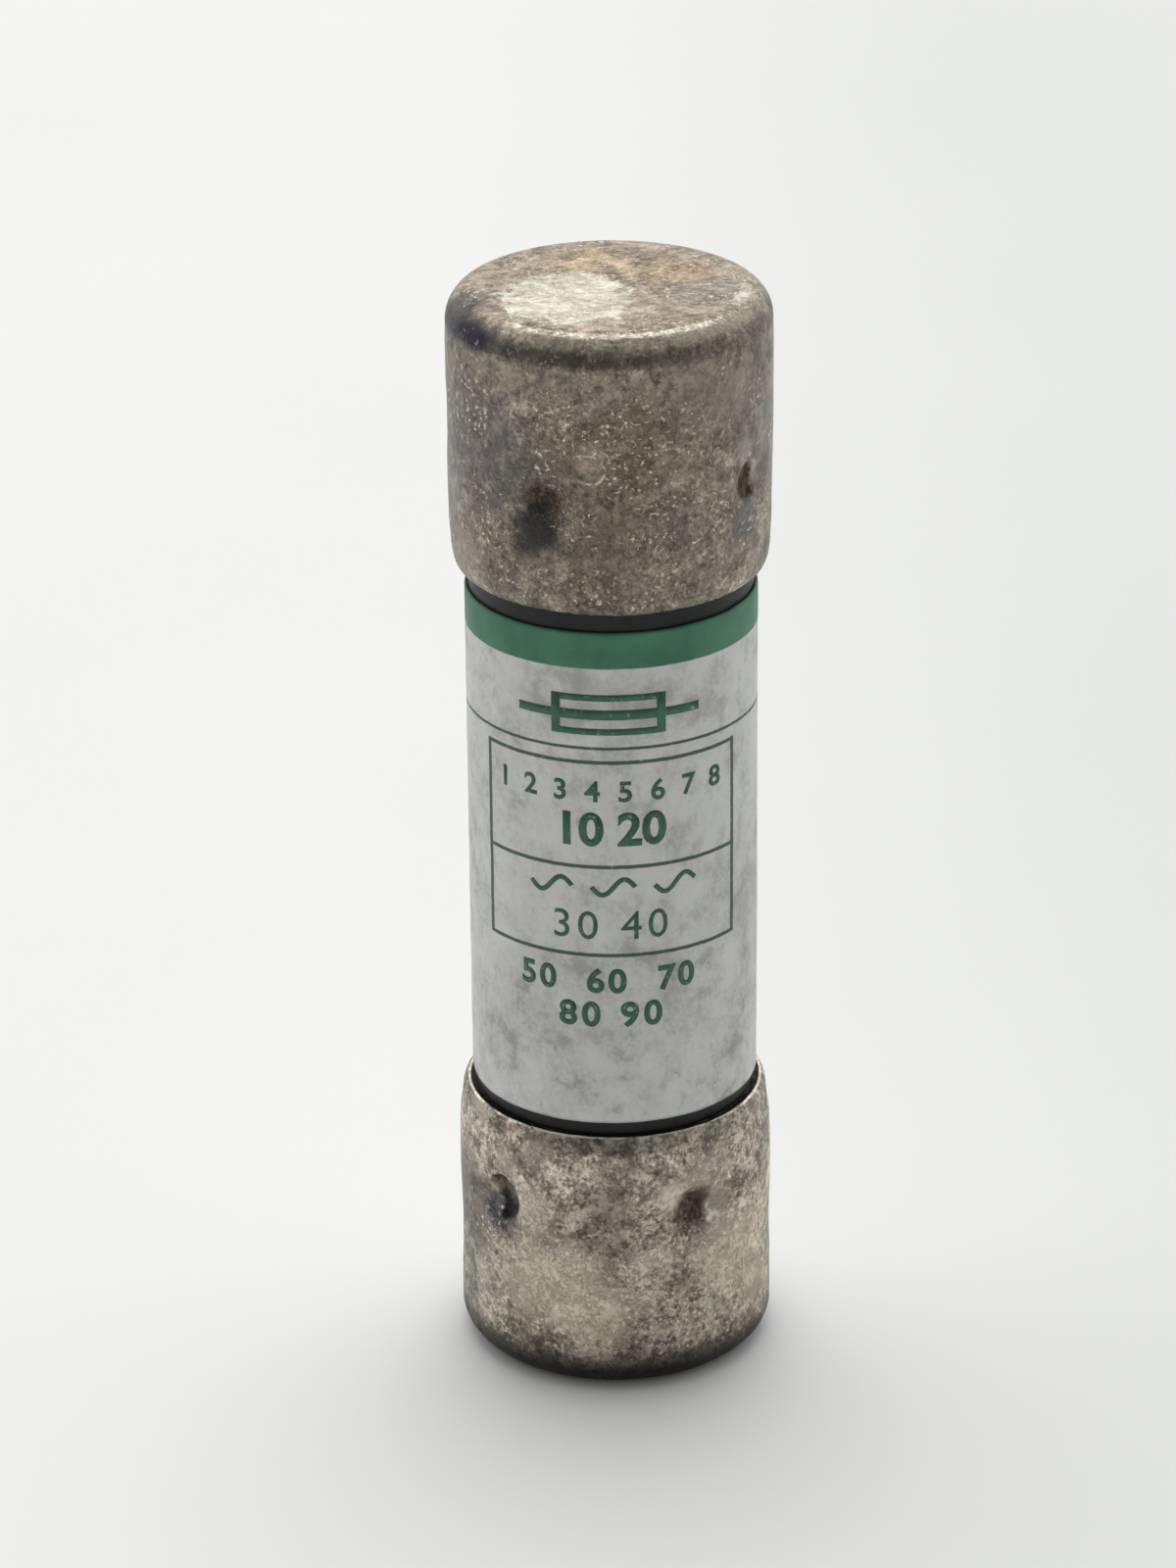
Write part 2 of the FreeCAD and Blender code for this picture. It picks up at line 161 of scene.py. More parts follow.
def stake_relief(across, up, stake):
    """How far in the sheet is pushed near a stake: a soft dent, a scooped tongue, and the opening
    between the tongue's end and the edge that it was sheared from."""
    sheared = math.radians(stake["sheared"])
    along = across * math.cos(sheared) + up * math.sin(sheared)
    aside = up * math.cos(sheared) - across * math.sin(sheared)
    reach = np.hypot(along, aside)
    to_tongue = np.hypot(along + stake["gap"], aside)
    inside = 1 / (1 + np.exp(-(stake["cut"] - reach) / stake["edge"]))
    past_tongue = 1 / (1 + np.exp(-(to_tongue - stake["cut"]) / stake["end"]))
    dent = 0.22 * np.exp(-((along + 0.35) ** 2 + aside**2) / 1.7**2)
    drawn = 0.1 * np.exp(-(((reach - stake["cut"]) / 0.3) ** 2)) * smooth(along, 0, 0.5)
    scoop = stake["scoop"] * smooth(along, -2.1, 0.3) * np.exp(-((aside / 0.85) ** 2))
    scoop *= 1 - smooth(along, -0.2, 0.15) * (1 - inside)
    start = stake["cut"] - stake["gap"]
    opening = stake["opening"] * inside * past_tongue * smooth(along, start - 0.45, start - 0.15)
    curl = 0.15 * np.exp(-(((to_tongue - stake["cut"] + 0.1) / 0.1) ** 2))
    curl = curl * inside * smooth(aside, -0.1, 0.2)
    return dent + drawn + np.maximum(scoop - curl, opening)


def turned_by(azimuth, degrees):
    """The angle in radians from an azimuth in degrees, between -pi and pi."""
    return (azimuth - math.radians(degrees) + math.pi) % (2 * math.pi) - math.pi


def stake_step(away):
    """The size of the mesh's cells at a distance from a stake."""
    return FINE_STEP if away < FINE_REACH else min(FINE_STEP + (away - FINE_REACH) * STEP_GROWTH, COARSE_STEP)


def wall_azimuths(stakes, turned):
    """The azimuths of a ferrule's columns, closer together at its four stakes."""
    half = graded(0, CAP_RADIUS * QUARTER / 2, stake_step)
    arc = np.concatenate([half[:-1], CAP_RADIUS * QUARTER - half[:0:-1]]) / CAP_RADIUS
    turn = np.concatenate([arc + k * QUARTER for k in range(4)])
    return turn + math.radians(stakes[0]["azimuth"] / 2 + turned / 2)


def wall_profile(outline, stakes_at):
    """The heights and radii of a ferrule's outer wall, from its outline with the kinks smoothed out."""
    heights, radii = zip(*outline)
    mouth_start = heights[-1]

    def wall_step(height):
        return stake_step(abs(height - stakes_at)) if height < mouth_start - 0.4 else MOUTH_STEP

    wall = graded(CORNER, mouth_start, wall_step)
    fine = np.arange(CORNER - 3, mouth_start + 3, 0.02)
    blur = np.exp(-(np.linspace(-2.5, 2.5, 71) ** 2))
    soft = np.convolve(np.interp(fine, heights, radii), blur / blur.sum(), mode="same")
    wall_radius = np.interp(wall, fine, soft)
    wall_radius += (CAP_RADIUS - wall_radius[0]) * (1 - smooth(wall, CORNER, CORNER + 1))
    return wall, wall_radius


def ferrule_section(wall, wall_radius, mouth_start):
    """The rings from the middle of the end face, over the outside and the mouth, to the middle inside:
    their radii, their heights, what they belong to, and how many of them are outside."""
    face = np.linspace(0, 1, 22)[1:] ** 0.8 * FACE_RADIUS
    bend = np.linspace(0, QUARTER, 18)
    back, inner_corner, inside = bend[::-2], CORNER - SHEET, CAP_RADIUS - SHEET
    roll = np.linspace(0, QUARTER, 14)[1:]
    roll_radius = wall_radius[-1] - (wall_radius[-1] - MOUTH_RADIUS) * (1 - np.cos(roll))
    roll_height = mouth_start + (CAP_LENGTH - mouth_start) * np.sin(roll)
    sections = [
        (face, FACE_DISH * (1 - (face / FACE_RADIUS) ** 2) ** 1.5, PLAIN),
        (CREST_RADIUS + CORNER * np.sin(bend), CORNER * (1 - np.cos(bend)), PLAIN),
        (wall_radius[1:], wall[1:], OUTER_WALL),
        (roll_radius, roll_height, PLAIN),
        (
            MOUTH_RADIUS - LIP * np.array([0.45, 1.0, 2.6, 4.2, 5.6]),
            CAP_LENGTH - np.array([0, 0.02, 0.05, 0.06, 0.1]),
            PLAIN,
        ),
        (np.array([6.22, 6.3, inside]), CAP_LENGTH - np.array([0.25, 0.6, 1.35]), PLAIN),
        (np.full(40, inside), np.linspace(CAP_LENGTH - 1.6, CORNER + 0.1, 40), INNER_WALL),
        (CREST_RADIUS + inner_corner * np.sin(back), CORNER - inner_corner * np.cos(back), PLAIN),
        (np.array([5.2, 4.2, 2.6, 1.2]), np.full(4, SHEET + FACE_DISH), PLAIN),
    ]
    radius, height = (np.concatenate([part[k] for part in sections]) for k in (0, 1))
    kind = np.concatenate([np.full(len(part[0]), part[2]) for part in sections])
    return radius, height, kind, sum(len(part[0]) for part in sections[:4])


def ferrule(name, node, upper, turned, stakes_at, stakes, outline):
    """One drawn ferrule: end face, crest, corner, wall with its stakes, rolled mouth and inside."""
    azimuth = wall_azimuths(stakes, turned)
    radius, height, kind, outside = ferrule_section(*wall_profile(outline, stakes_at), outline[-1][0])
    across_profile = np.gradient(height), -np.gradient(radius)
    length = np.hypot(*across_profile)
    normal_r, normal_h = (part[:, None] / length[:, None] for part in across_profile)

    grid_azimuth = np.broadcast_to(azimuth, (len(radius), len(azimuth)))
    grid_height = np.broadcast_to(height[:, None], grid_azimuth.shape)
    up = (stakes_at - grid_height) if upper else (grid_height - stakes_at)
    push = np.zeros(grid_azimuth.shape)
    for number, stake in enumerate(stakes):
        across = turned_by(grid_azimuth, stake["azimuth"]) * CAP_RADIUS
        inner_across = turned_by(grid_azimuth, turned + 90 * number) * CAP_RADIUS
        from_nub = np.hypot(inner_across, grid_height - STAKE_HEIGHT)
        nub = NUB_REACH * (1 - smooth(from_nub, NUB_TIP, NUB_ROOT))
        relief = stake_relief(across, up, stake)
        push += np.select([kind[:, None] == OUTER_WALL, kind[:, None] == INNER_WALL], [relief, -nub])

    # The outside is a little uneven, and lies a hair inside the true cylinder.
    places = around(grid_azimuth, radius[:, None] + 0 * grid_azimuth, grid_height)
    outer = (np.arange(len(radius)) < outside)[:, None]
    dents = 0.022 * (0.6 + waves(places, 2.6, 11 + upper)) + 0.006 * waves(places, 0.7, 21 + upper)
    push += dents * outer * smooth(height[:, None], 0.0, 0.6)
    push -= 0.01 * outer * smooth(-height[:, None], -0.6, 0)
    new_radius = np.minimum(radius[:, None] - push * normal_r, CAP_RADIUS)
    new_height = np.maximum(grid_height - push * normal_h, 0)

    # The mouth's edge is a little ragged.
    circle = np.stack([np.cos(azimuth), np.sin(azimuth), 0 * azimuth], -1)
    nick = waves(circle * 7, 0.35, 31 + upper)
    at_mouth = np.exp(-(((height - CAP_LENGTH) / 0.12) ** 2))[:, None] * (kind == PLAIN)[:, None]
    new_height = new_height - at_mouth * 0.008 * (1.2 + nick)

    z = LENGTH - new_height if upper else new_height
    points = around(grid_azimuth, new_radius, z).reshape(-1, 3)
    rows, columns = grid_azimuth.shape
    faces = quads(rows, columns, wrap_columns=True)
    poles = []
    for row, depth in ((0, FACE_DISH), (rows - 1, SHEET + FACE_DISH)):
        centre = len(points) + len(poles)
        poles.append((0, 0, LENGTH - depth if upper else depth))
        first = row * columns
        ring = [(first + k, first + (k + 1) % columns, centre) for k in range(columns)]
        faces += ring if row == 0 else [(b, a, c) for a, b, c in ring]
    mesh = mesh_from(name, np.vstack([points, poles]), faces)
    piece = link(name, mesh, METALS[upper])
    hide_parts(node)


# ---- material nodes

def srgb(*levels):
    """A linear colour from 0 to 255 display levels."""
    linear = [((v / 255 + 0.055) / 1.055) ** 2.4 if v > 10 else v / 255 / 12.92 for v in levels]
    return (*linear, 1.0)


class Value:
    """A number in a node tree. Python arithmetic on it adds Math nodes."""

    def __init__(self, tree, socket):
        self.tree, self.socket = tree, socket

    def math(self, operation, *others):
        node = self.tree.nodes.new("ShaderNodeMath")
        node.operation = operation
        for slot, item in zip(node.inputs, (self, *others)):
            if isinstance(item, Value):
                self.tree.links.new(item.socket, slot)
            else:
                slot.default_value = item
        return Value(self.tree, node.outputs[0])

    def __add__(self, other):
        return self.math("ADD", other)

    def __sub__(self, other):
        return self.math("SUBTRACT", other)

    def __mul__(self, other):
        return self.math("MULTIPLY", other)

    def __rsub__(self, other):
        return (self * -1).math("ADD", other)

    __radd__, __rmul__ = __add__, __mul__

    def __pow__(self, power):
        return self.math("POWER", power)

    def __abs__(self):
        return self.math("ABSOLUTE")

    def at_most(self, other):
        return self.math("MINIMUM", other)

    def at_least(self, other):
        return self.math("MAXIMUM", other)

    def rise(self, start, end, low_value=0.0, high_value=1.0):
        """A smooth rise from one value to the other as this goes from start to end."""
        node = self.tree.nodes.new("ShaderNodeMapRange")
        node.interpolation_type = "SMOOTHSTEP"
        self.tree.links.new(self.socket, node.inputs["Value"])
        settings = ("From Min", start), ("From Max", end), ("To Min", low_value), ("To Max", high_value)
        for label, number in settings:
            node.inputs[label].default_value = number
        return Value(self.tree, node.outputs["Result"])

    def band(self, centre, half, soft):
        """1 within half of the centre, with soft edges."""
        return abs(self - centre).rise(half - soft, half + soft, 1.0, 0.0)


class Look:
    """A material being made: its tree, a place in millimetres on the piece, and its shader."""

    def __init__(self, name):
        self.material = bpy.data.materials.new(name)
        self.material.use_nodes = True
        self.tree = self.material.node_tree
        self.shader = self.tree.nodes["Principled BSDF"]
        place = self.tree.nodes.new("ShaderNodeTexCoord").outputs["Object"]
        scaled = self.tree.nodes.new("ShaderNodeVectorMath")
        scaled.operation = "SCALE"
        scaled.inputs["Scale"].default_value = 1 / MM
        self.tree.links.new(place, scaled.inputs[0])
        self.place = scaled.outputs[0]
        split = self.tree.nodes.new("ShaderNodeSeparateXYZ")
        self.tree.links.new(self.place, split.inputs[0])
        self.x, self.y, self.z = (Value(self.tree, part) for part in split.outputs)

    def radial(self):
        """The distance from the axis."""
        return (self.x ** 2.0 + self.y ** 2.0) ** 0.5

    def moved(self, offset, stretch=(1, 1, 1)):
        """The place, shifted and stretched, so that a noise there is another noise."""
        node = self.tree.nodes.new("ShaderNodeMapping")
        self.tree.links.new(self.place, node.inputs["Vector"])
        node.inputs["Location"].default_value = offset
        node.inputs["Scale"].default_value = stretch
        return node.outputs[0]

    def noise(self, size, detail, roughness, offset, stretch=(1, 1, 1)):
        """Noise about 0.5, with patches of the given size in millimetres."""
        node = self.tree.nodes.new("ShaderNodeTexNoise")
        self.tree.links.new(self.moved((offset, offset * 0.7, offset * 1.3), stretch), node.inputs["Vector"])
        for label, number in (("Scale", 0.5 / size), ("Detail", detail), ("Roughness", roughness)):
            node.inputs[label].default_value = number
        return Value(self.tree, node.outputs["Fac"])

    def squiggles(self, size, width, offset):
        """Thin crooked marks: the middle contour of a noise, where another noise is high."""
        line = abs(self.noise(size, 2.0, 0.6, offset) - 0.5).rise(0.0, width, 1.0, 0.0)
        return line * self.noise(size * 0.8, 2.0, 0.5, offset + 31).rise(0.56, 0.62)

    def strokes(self, size, length, width, share, offset):
        """Scattered marks, some in each patch of the given size: short crooked lines and tiny dots."""
        place = self.moved((offset, offset * 0.7, offset * 1.3))
        cells = self.tree.nodes.new("ShaderNodeTexVoronoi")
        self.tree.links.new(place, cells.inputs["Vector"])
        cells.inputs["Scale"].default_value = 1 / size
        away = self.vectors("SUBTRACT", place, cells.outputs["Position"])
        chance = self.vectors("SUBTRACT", cells.outputs["Color"], (0.5, 0.5, 0.5))
        direction = self.vectors("NORMALIZE", chance)
        across = Value(self.tree, self.vectors("DOT_PRODUCT", away, direction, "Value"))
        reach = Value(self.tree, self.vectors("LENGTH", away, None, "Value"))
        split = self.tree.nodes.new("ShaderNodeSeparateXYZ")
        self.tree.links.new(cells.outputs["Color"], split.inputs[0])
        first, second = (Value(self.tree, part) for part in split.outputs[:2])
        crooked = across + (self.noise(length * 0.5, 2.0, 0.6, offset + 3) - 0.5) * length * 1.6
        line = abs(crooked).rise(width * 0.4, width, 1.0, 0.0)
        line = line * reach.rise(length * 0.6, length, 1.0, 0.0)
        dot = reach.rise(width * 1.2, width * 2.4, 1.0, 0.0) * second.rise(0.6, 0.61)
        return line.at_least(dot) * first.rise(share, share - 0.02)

    def vectors(self, operation, one, other=None, output="Vector"):
        """A vector calculation, as an output socket."""
        node = self.tree.nodes.new("ShaderNodeVectorMath")
        node.operation = operation
        for slot, item in zip(node.inputs, (one, other)):
            if isinstance(item, tuple):
                slot.default_value = item
            elif item is not None:
                self.tree.links.new(item, slot)
        return node.outputs[output]

    def near(self, point, reach, wobble, amount, flat=(1, 1, 1)):
        """1 at a point in millimetres, falling to 0 at reach, with an edge that a noise moves; flat
        stretches the axes."""
        total = None
        for part, centre, stretch in zip((self.x, self.y, self.z), point, flat):
            term = ((part - centre) * stretch) ** 2.0
            total = term if total is None else total + term
        distance = total ** 0.5 + (wobble - 0.5) * amount
        return distance.rise(reach * 0.35, reach, 1.0, 0.0)

    def opening(self, stake, z):
        """1 in the opening of a stake whose middle is at height z."""
        angle, sheared = math.radians(stake["azimuth"]), math.radians(stake["sheared"])
        across = self.x * math.cos(angle) + self.y * math.sin(angle)
        facing = self.x * math.sin(angle) - self.y * math.cos(angle)
        along = across * math.cos(sheared) + (self.z - z) * math.sin(sheared)
        aside = (self.z - z) * math.cos(sheared) - across * math.sin(sheared)
        reach = (along ** 2.0 + aside ** 2.0) ** 0.5
        to_tongue = ((along + stake["gap"]) ** 2.0 + aside ** 2.0) ** 0.5
        soft = stake["edge"] + 0.04
        start = stake["cut"] - stake["gap"]
        inside = reach.rise(stake["cut"] + soft, stake["cut"] - soft)
        past = to_tongue.rise(stake["cut"] - stake["end"] * 0.6, stake["cut"] + stake["end"])
        return inside * past * along.rise(start - 0.45, start - 0.15) * facing.rise(3.0, 4.0)

    def mix(self, factor, one, other):
        """A colour between two colours."""
        node = self.tree.nodes.new("ShaderNodeMix")
        node.data_type = "RGBA"
        sockets = [s for s in node.inputs if s.type == "RGBA"]
        self.tree.links.new(factor.socket, node.inputs[0])
        for socket, colour in zip(sockets, (one, other)):
            if isinstance(colour, tuple):
                socket.default_value = colour
            else:
                self.tree.links.new(colour, socket)
        return next(s for s in node.outputs if s.type == "RGBA")

    def ramp(self, factor, *stops):
        """A colour from (position, colour) stops."""
        node = self.tree.nodes.new("ShaderNodeValToRGB")
        self.tree.links.new(factor.socket, node.inputs[0])
        elements = node.color_ramp.elements
        while len(elements) < len(stops):
            elements.new(0.5)
        for element, (position, colour) in zip(elements, stops):
            element.position, element.color = position, colour
        return node.outputs[0]

    def finish(self, colour, roughness, height, depth, **constants):
        """Join the results to the shader. The bump is the height times the depth in millimetres."""
        links, inputs = self.tree.links, self.shader.inputs
        links.new(colour, inputs["Base Color"])
        if isinstance(roughness, Value):
            links.new(roughness.socket, inputs["Roughness"])
        else:
            inputs["Roughness"].default_value = roughness
        for label, setting in constants.items():
            inputs[label.replace("_", " ")].default_value = setting
        bump = self.tree.nodes.new("ShaderNodeBump")
        bump.inputs["Strength"].default_value = 1.0
        bump.inputs["Distance"].default_value = depth * MM
        links.new(height.socket, bump.inputs["Height"])
        links.new(bump.outputs[0], inputs["Normal"])
        return self.material


def end_face(look, film, end, shade, patch):
    """The upper end face: its bare patch, tints and scrapes. Gives the film, the face and the bare parts."""
    face = end.rise(0.32, 0.2)
    brushed = look.ramp(patch, (0.4, srgb(104, 92, 79)), (0.6, srgb(178, 161, 143)))
    film = look.mix(face * 0.7, film, brushed)
    gold = look.near((-0.6, 2.9, LENGTH), 2.2, shade, 2.0)
    gold = gold.at_least(look.near((2.3, 1.6, LENGTH), 2.2, shade, 2.0))
    tint = look.ramp(patch, (0.42, srgb(150, 122, 82)), (0.58, srgb(204, 180, 134)))
    film = look.mix(gold * face * patch.rise(0.36, 0.6, 0.22, 0.62), film, tint)
    rose = look.near((3.7, 1.6, LENGTH), 1.3, shade, 1.2)
    film = look.mix(rose * face * 0.36, film, srgb(148, 92, 78))
    cool = look.near((4.1, -1.0, LENGTH), 2.4, shade, 2.0)
    film = look.mix(cool * face * 0.62, film, srgb(112, 105, 105))
    scrape = look.noise(0.16, 7.0, 0.76, 61.0, (0.6, 1.3, 1))
    film = look.mix(scrape.rise(0.51, 0.56) * face * 0.55, film, srgb(190, 174, 150))

    ragged = look.noise(0.7, 9.0, 0.82, 52.0)
    large = look.near((-1.9, -1.65, LENGTH), 4.5, ragged, 6.5, (1.12, 0.93, 1))
    small = look.radial().band(5.95, 0.28, 0.28) * look.y.band(-1.35, 1.6, 0.6) * look.x.rise(3.0, 4.0)
    small = (small + (ragged - 0.5) * 3.0).rise(0.42, 0.75) * look.x.rise(4.4, 4.8)
    worn = large.rise(0.36, 0.52).at_least(small * 0.7) * face
    silver = look.ramp(scrape * 0.6 + shade * 0.4, (0.4, srgb(176, 168, 154)), (0.55, srgb(224, 221, 208)))
    return look.mix(worn * 0.94, film, silver), face, worn


def upper_corner(look, film, end, shade, patch):
    """The upper corner: its dark shoulder, painted shade standing for the reflected dim room in front; a
    black and a navy patch, each partly tarnish and partly painted shade; a painted highlight below the crest;
    and a pale patchy band under the shoulder.
    """
    # Painted shade: a dark shoulder band, the reflected dim room in front, stronger on the left.
    shoulder_shade = end.band(1.05, 0.36, 0.2)
    film = look.mix(shoulder_shade * look.x.rise(1.0, 5.2, 0.68, 0.28), film, srgb(54, 54, 47))
    # Painted highlight: a light band below the crest at the front, stronger on the right.
    below_crest_highlight = end.band(0.34, 0.2, 0.18) * look.y.rise(-1.0, -3.5)
    film = look.mix(below_crest_highlight * look.x.rise(0.0, 4.8, 0.08, 0.48), film, srgb(184, 176, 160))
    # The next two: dark patches on the left of the corner, partly tarnish and partly painted shade.
    black_tarnish_and_shade = look.near((-6.7, -1.8, LENGTH - 0.6), 2.4, shade, 1.2)
    film = look.mix(black_tarnish_and_shade * 0.72, film, srgb(58, 58, 60))
    navy_tarnish_and_shade = look.near((-5.7, -3.7, LENGTH - 0.85), 1.75, shade, 1.4, (0.85, 0.85, 2.4))
    film = look.mix(navy_tarnish_and_shade * 0.88, film, srgb(40, 36, 62))
    return look.mix(end.band(2.25, 0.65, 0.4) * patch.rise(0.42, 0.58) * 0.75, film, srgb(160, 149, 134))


def upper_flecks(look, flecks, end, shade, face):
    """The flecks of the upper ferrule: fewer at the corner, curls on the end face, and the ring scratch."""
    flecks = flecks * (1 - end.band(0.9, 0.9, 0.3) * 0.75)
    curls = look.squiggles(0.28, 0.035, 2.0).at_least(look.squiggles(0.16, 0.045, 7.0))
    flecks = flecks.at_least(curls * face * look.noise(1.0, 3.0, 0.6, 12.0).rise(0.46, 0.52))
    middle = on_wall(-7.5, 44.85)
    away = sum(((part - at) ** 2.0 for part, at in zip((look.x, look.y, look.z), middle)), 0.0) ** 0.5
    ring = (away + (shade - 0.5) * 0.4).band(0.66, 0.05, 0.03) * look.x.rise(-1.5, -0.9)
    return flecks.at_least(ring * look.noise(0.2, 4.0, 0.7, 33.0).rise(0.42, 0.5) * 0.7)


def crest_highlight(look):
    """The bright line along the front of the upper crest: a painted highlight, where the overhead light is
    reflected.
    """
    crest = look.radial().band(6.36, 0.13, 0.06) * look.z.rise(49, 50) * look.y.rise(-3.6, -4.6)
    crest = crest * look.x.rise(5.6, 4.4) * look.x.rise(-4.7, -3.7)
    streaks = look.noise(0.2, 5.0, 0.7, 91.0, (0.35, 1.6, 1))
    return crest * streaks.rise(0.45, 0.53).at_least(abs(look.x).rise(3.4, 1.0) * 0.4)


def lower_painted_shade(look, film, shade):
    """The lower ferrule's painted shade: its darker left side, its dark foot (the reflected contact shadow),
    the dark band under its mouth (the reflected dim room in front) and the dark edge inside its mouth.
    """
    # Painted shade: the left side darker.
    left = look.x.rise(-5.7, -6.8) * look.z.rise(11.6, 9.6)
    film = look.mix(left * 0.45, film, srgb(70, 67, 63))
    # Painted shade: the foot darker towards the floor, standing for the reflected contact shadow.
    film = look.mix((look.z + (shade - 0.5) * 1.8).rise(2.4, 1.3) * 0.72, film, srgb(66, 62, 55))
    film = look.mix(look.z.rise(1.7, 0.8) * 0.85, film, srgb(28, 28, 26))
    # Painted shade: a dark band under the rim, stronger at the front, standing for the reflected dim room.
    under_rim_shade = (look.z + (shade - 0.5) * 0.9).band(CAP_LENGTH - 0.4, 0.36, 0.24)
    film = look.mix(under_rim_shade * look.y.rise(-5.8, -7.0, 0.18, 0.62), film, srgb(62, 60, 52))
    # Painted shade inside the mouth's edge, in the gap next to the label.
    inside_mouth_shade = look.z.rise(CAP_LENGTH - 0.1, CAP_LENGTH - 0.06) * look.radial().rise(6.64, 6.58)
    return look.mix(inside_mouth_shade, film, srgb(36, 35, 33))


def mouth_wear(look):
    """The bright broken line along the lower ferrule's mouth."""
    line = look.z.rise(CAP_LENGTH - 0.13, CAP_LENGTH - 0.09) * look.radial().band(6.67, 0.05, 0.03)
    return line * look.noise(0.45, 5.0, 0.75, 91.0).rise(0.38, 0.47)


def tarnished(name, upper, tones, stakes, stakes_at):
    """Old silver plating: a mottled brown-grey film, scratched flecks, a worn bright mouth edge, stains, and
    painted light: a painted highlight on the upper crest, painted shade on the lower ferrule, and painted
    highlights and shade among the stains.
    """
    look = Look(name)
    broad = look.noise(2.2, 3.0, 0.55, 3.0 + upper)
    patch = look.noise(0.4, 7.0, 0.7, 17.0 + upper)
    grain = look.noise(0.1, 3.0, 0.7, 5.0)
    shade = look.noise(0.7, 5.0, 0.65, 77.0)
    hue = look.noise(1.6, 4.0, 0.62, 41.0 + upper)
    mottle = broad * 0.2 + patch * 0.5 + grain * 0.3
    film = look.ramp(mottle, *zip(tones["steps"], tones["film"]))
    film = look.mix(hue.rise(0.52, 0.62) * 0.35, film, tones["green"])
    film = look.mix(hue.rise(0.48, 0.38) * 0.4, film, tones["pink"])
    pits = look.noise(0.16, 5.0, 0.74, 58.0 + upper).rise(0.43, 0.35)
    film = look.mix(pits * 0.6, film, tones["pit"])

    rough_places = look.noise(1.1, 4.0, 0.6, 68.0 + upper)
    islands = look.noise(0.75, 8.0, 0.74, 63.0 + upper).rise(0.475, 0.435)
    film = look.mix(islands * tones["islands"], film, tones["pit"])
    for azimuth, z, reach, amount in tones["rough"]:
        rough_places = rough_places + look.near(on_wall(azimuth, z), reach, shade, 1.0) * amount
    crust_edge = look.noise(0.2, 7.0, 0.76, 37.0 + upper) * 0.75 + rough_places * 0.25
    crust = crust_edge.rise(0.485, 0.55) * rough_places.rise(0.4, 0.54)
    crusted = look.ramp(grain, (0.4, tones["crust"]), (0.62, tones["crust_light"]))
    film = look.mix(crust * tones["crusty"], film, crusted)

    height = LENGTH - stakes_at if upper else stakes_at
    sunk = look.opening(stakes[0], height)
    for each in stakes[1:]:
        sunk = sunk.at_least(look.opening(each, height))
    streaked = look.noise(0.1, 3.0, 0.7, 26.0, (1, 1, 0.4))
    dirt = look.ramp(streaked, (0.4, tones["dirt"]), (0.62, tones["dirt_light"]))
    film = look.mix(sunk * 0.9, film, dirt)
    # Stains, with painted highlights and painted shade among them, as marked in the tables.
    for azimuth, z, reach, strength, colour in tones["stains_and_painted_light"]:
        place = look.near(on_wall(azimuth, z), reach, shade, reach * 0.9)
        film = look.mix(place * strength, film, srgb(*colour))

    flecks = look.strokes(0.42, 0.18, 0.036, 0.6, 2.0) * rough_places.rise(0.48, 0.57)
    flecks = flecks.at_least(look.strokes(0.26, 0.11, 0.03, 0.5, 9.0) * rough_places.rise(0.5, 0.57))
    long_strokes = look.strokes(0.8, 0.3, 0.03, 0.5, 21.0)
    flecks = flecks.at_least(long_strokes * rough_places.rise(0.46, 0.54) * 0.8)
    if upper:
        end = look.z * -1 + LENGTH
        film, face, worn = end_face(look, film, end, shade, patch)
        film = upper_corner(look, film, end, shade, patch)
        flecks = upper_flecks(look, flecks, end, shade, face)
        # A painted highlight along the upper crest.
        edge_wear_and_highlight = crest_highlight(look)
    else:
        worn = 0.0
        # Painted shade at the lower ferrule's foot, left side and mouth.
        film = lower_painted_shade(look, film, shade)
        flecks = flecks * look.z.rise(CAP_LENGTH - 0.7, CAP_LENGTH - 0.9) * look.z.rise(1.2, 1.9)
        edge_wear_and_highlight = mouth_wear(look)

    bright = flecks * 0.92 * (1 - sunk)
    film = look.mix(bright, film, tones["fleck"])
    # The bright edges: a painted highlight on the upper crest, and worn bare metal at the lower mouth.
    film = look.mix(edge_wear_and_highlight, film, tones["bare_and_highlight"])
    roughness = mottle * 0.5 + 0.2 - bright * 0.15 + worn * 0.1 + crust * 0.1
    relief = patch * 0.8 + grain * 0.5 + crust * 0.9 + flecks * 0.6 - pits * 0.6 - islands * 0.5
    return look.finish(film, roughness, relief, tones["depth"], Metallic=0.82)


def on_wall(azimuth, z):
    """A point on a ferrule's wall, from its azimuth in degrees and its height."""
    return tuple(around(math.radians(azimuth), CAP_RADIUS - 0.1, z))
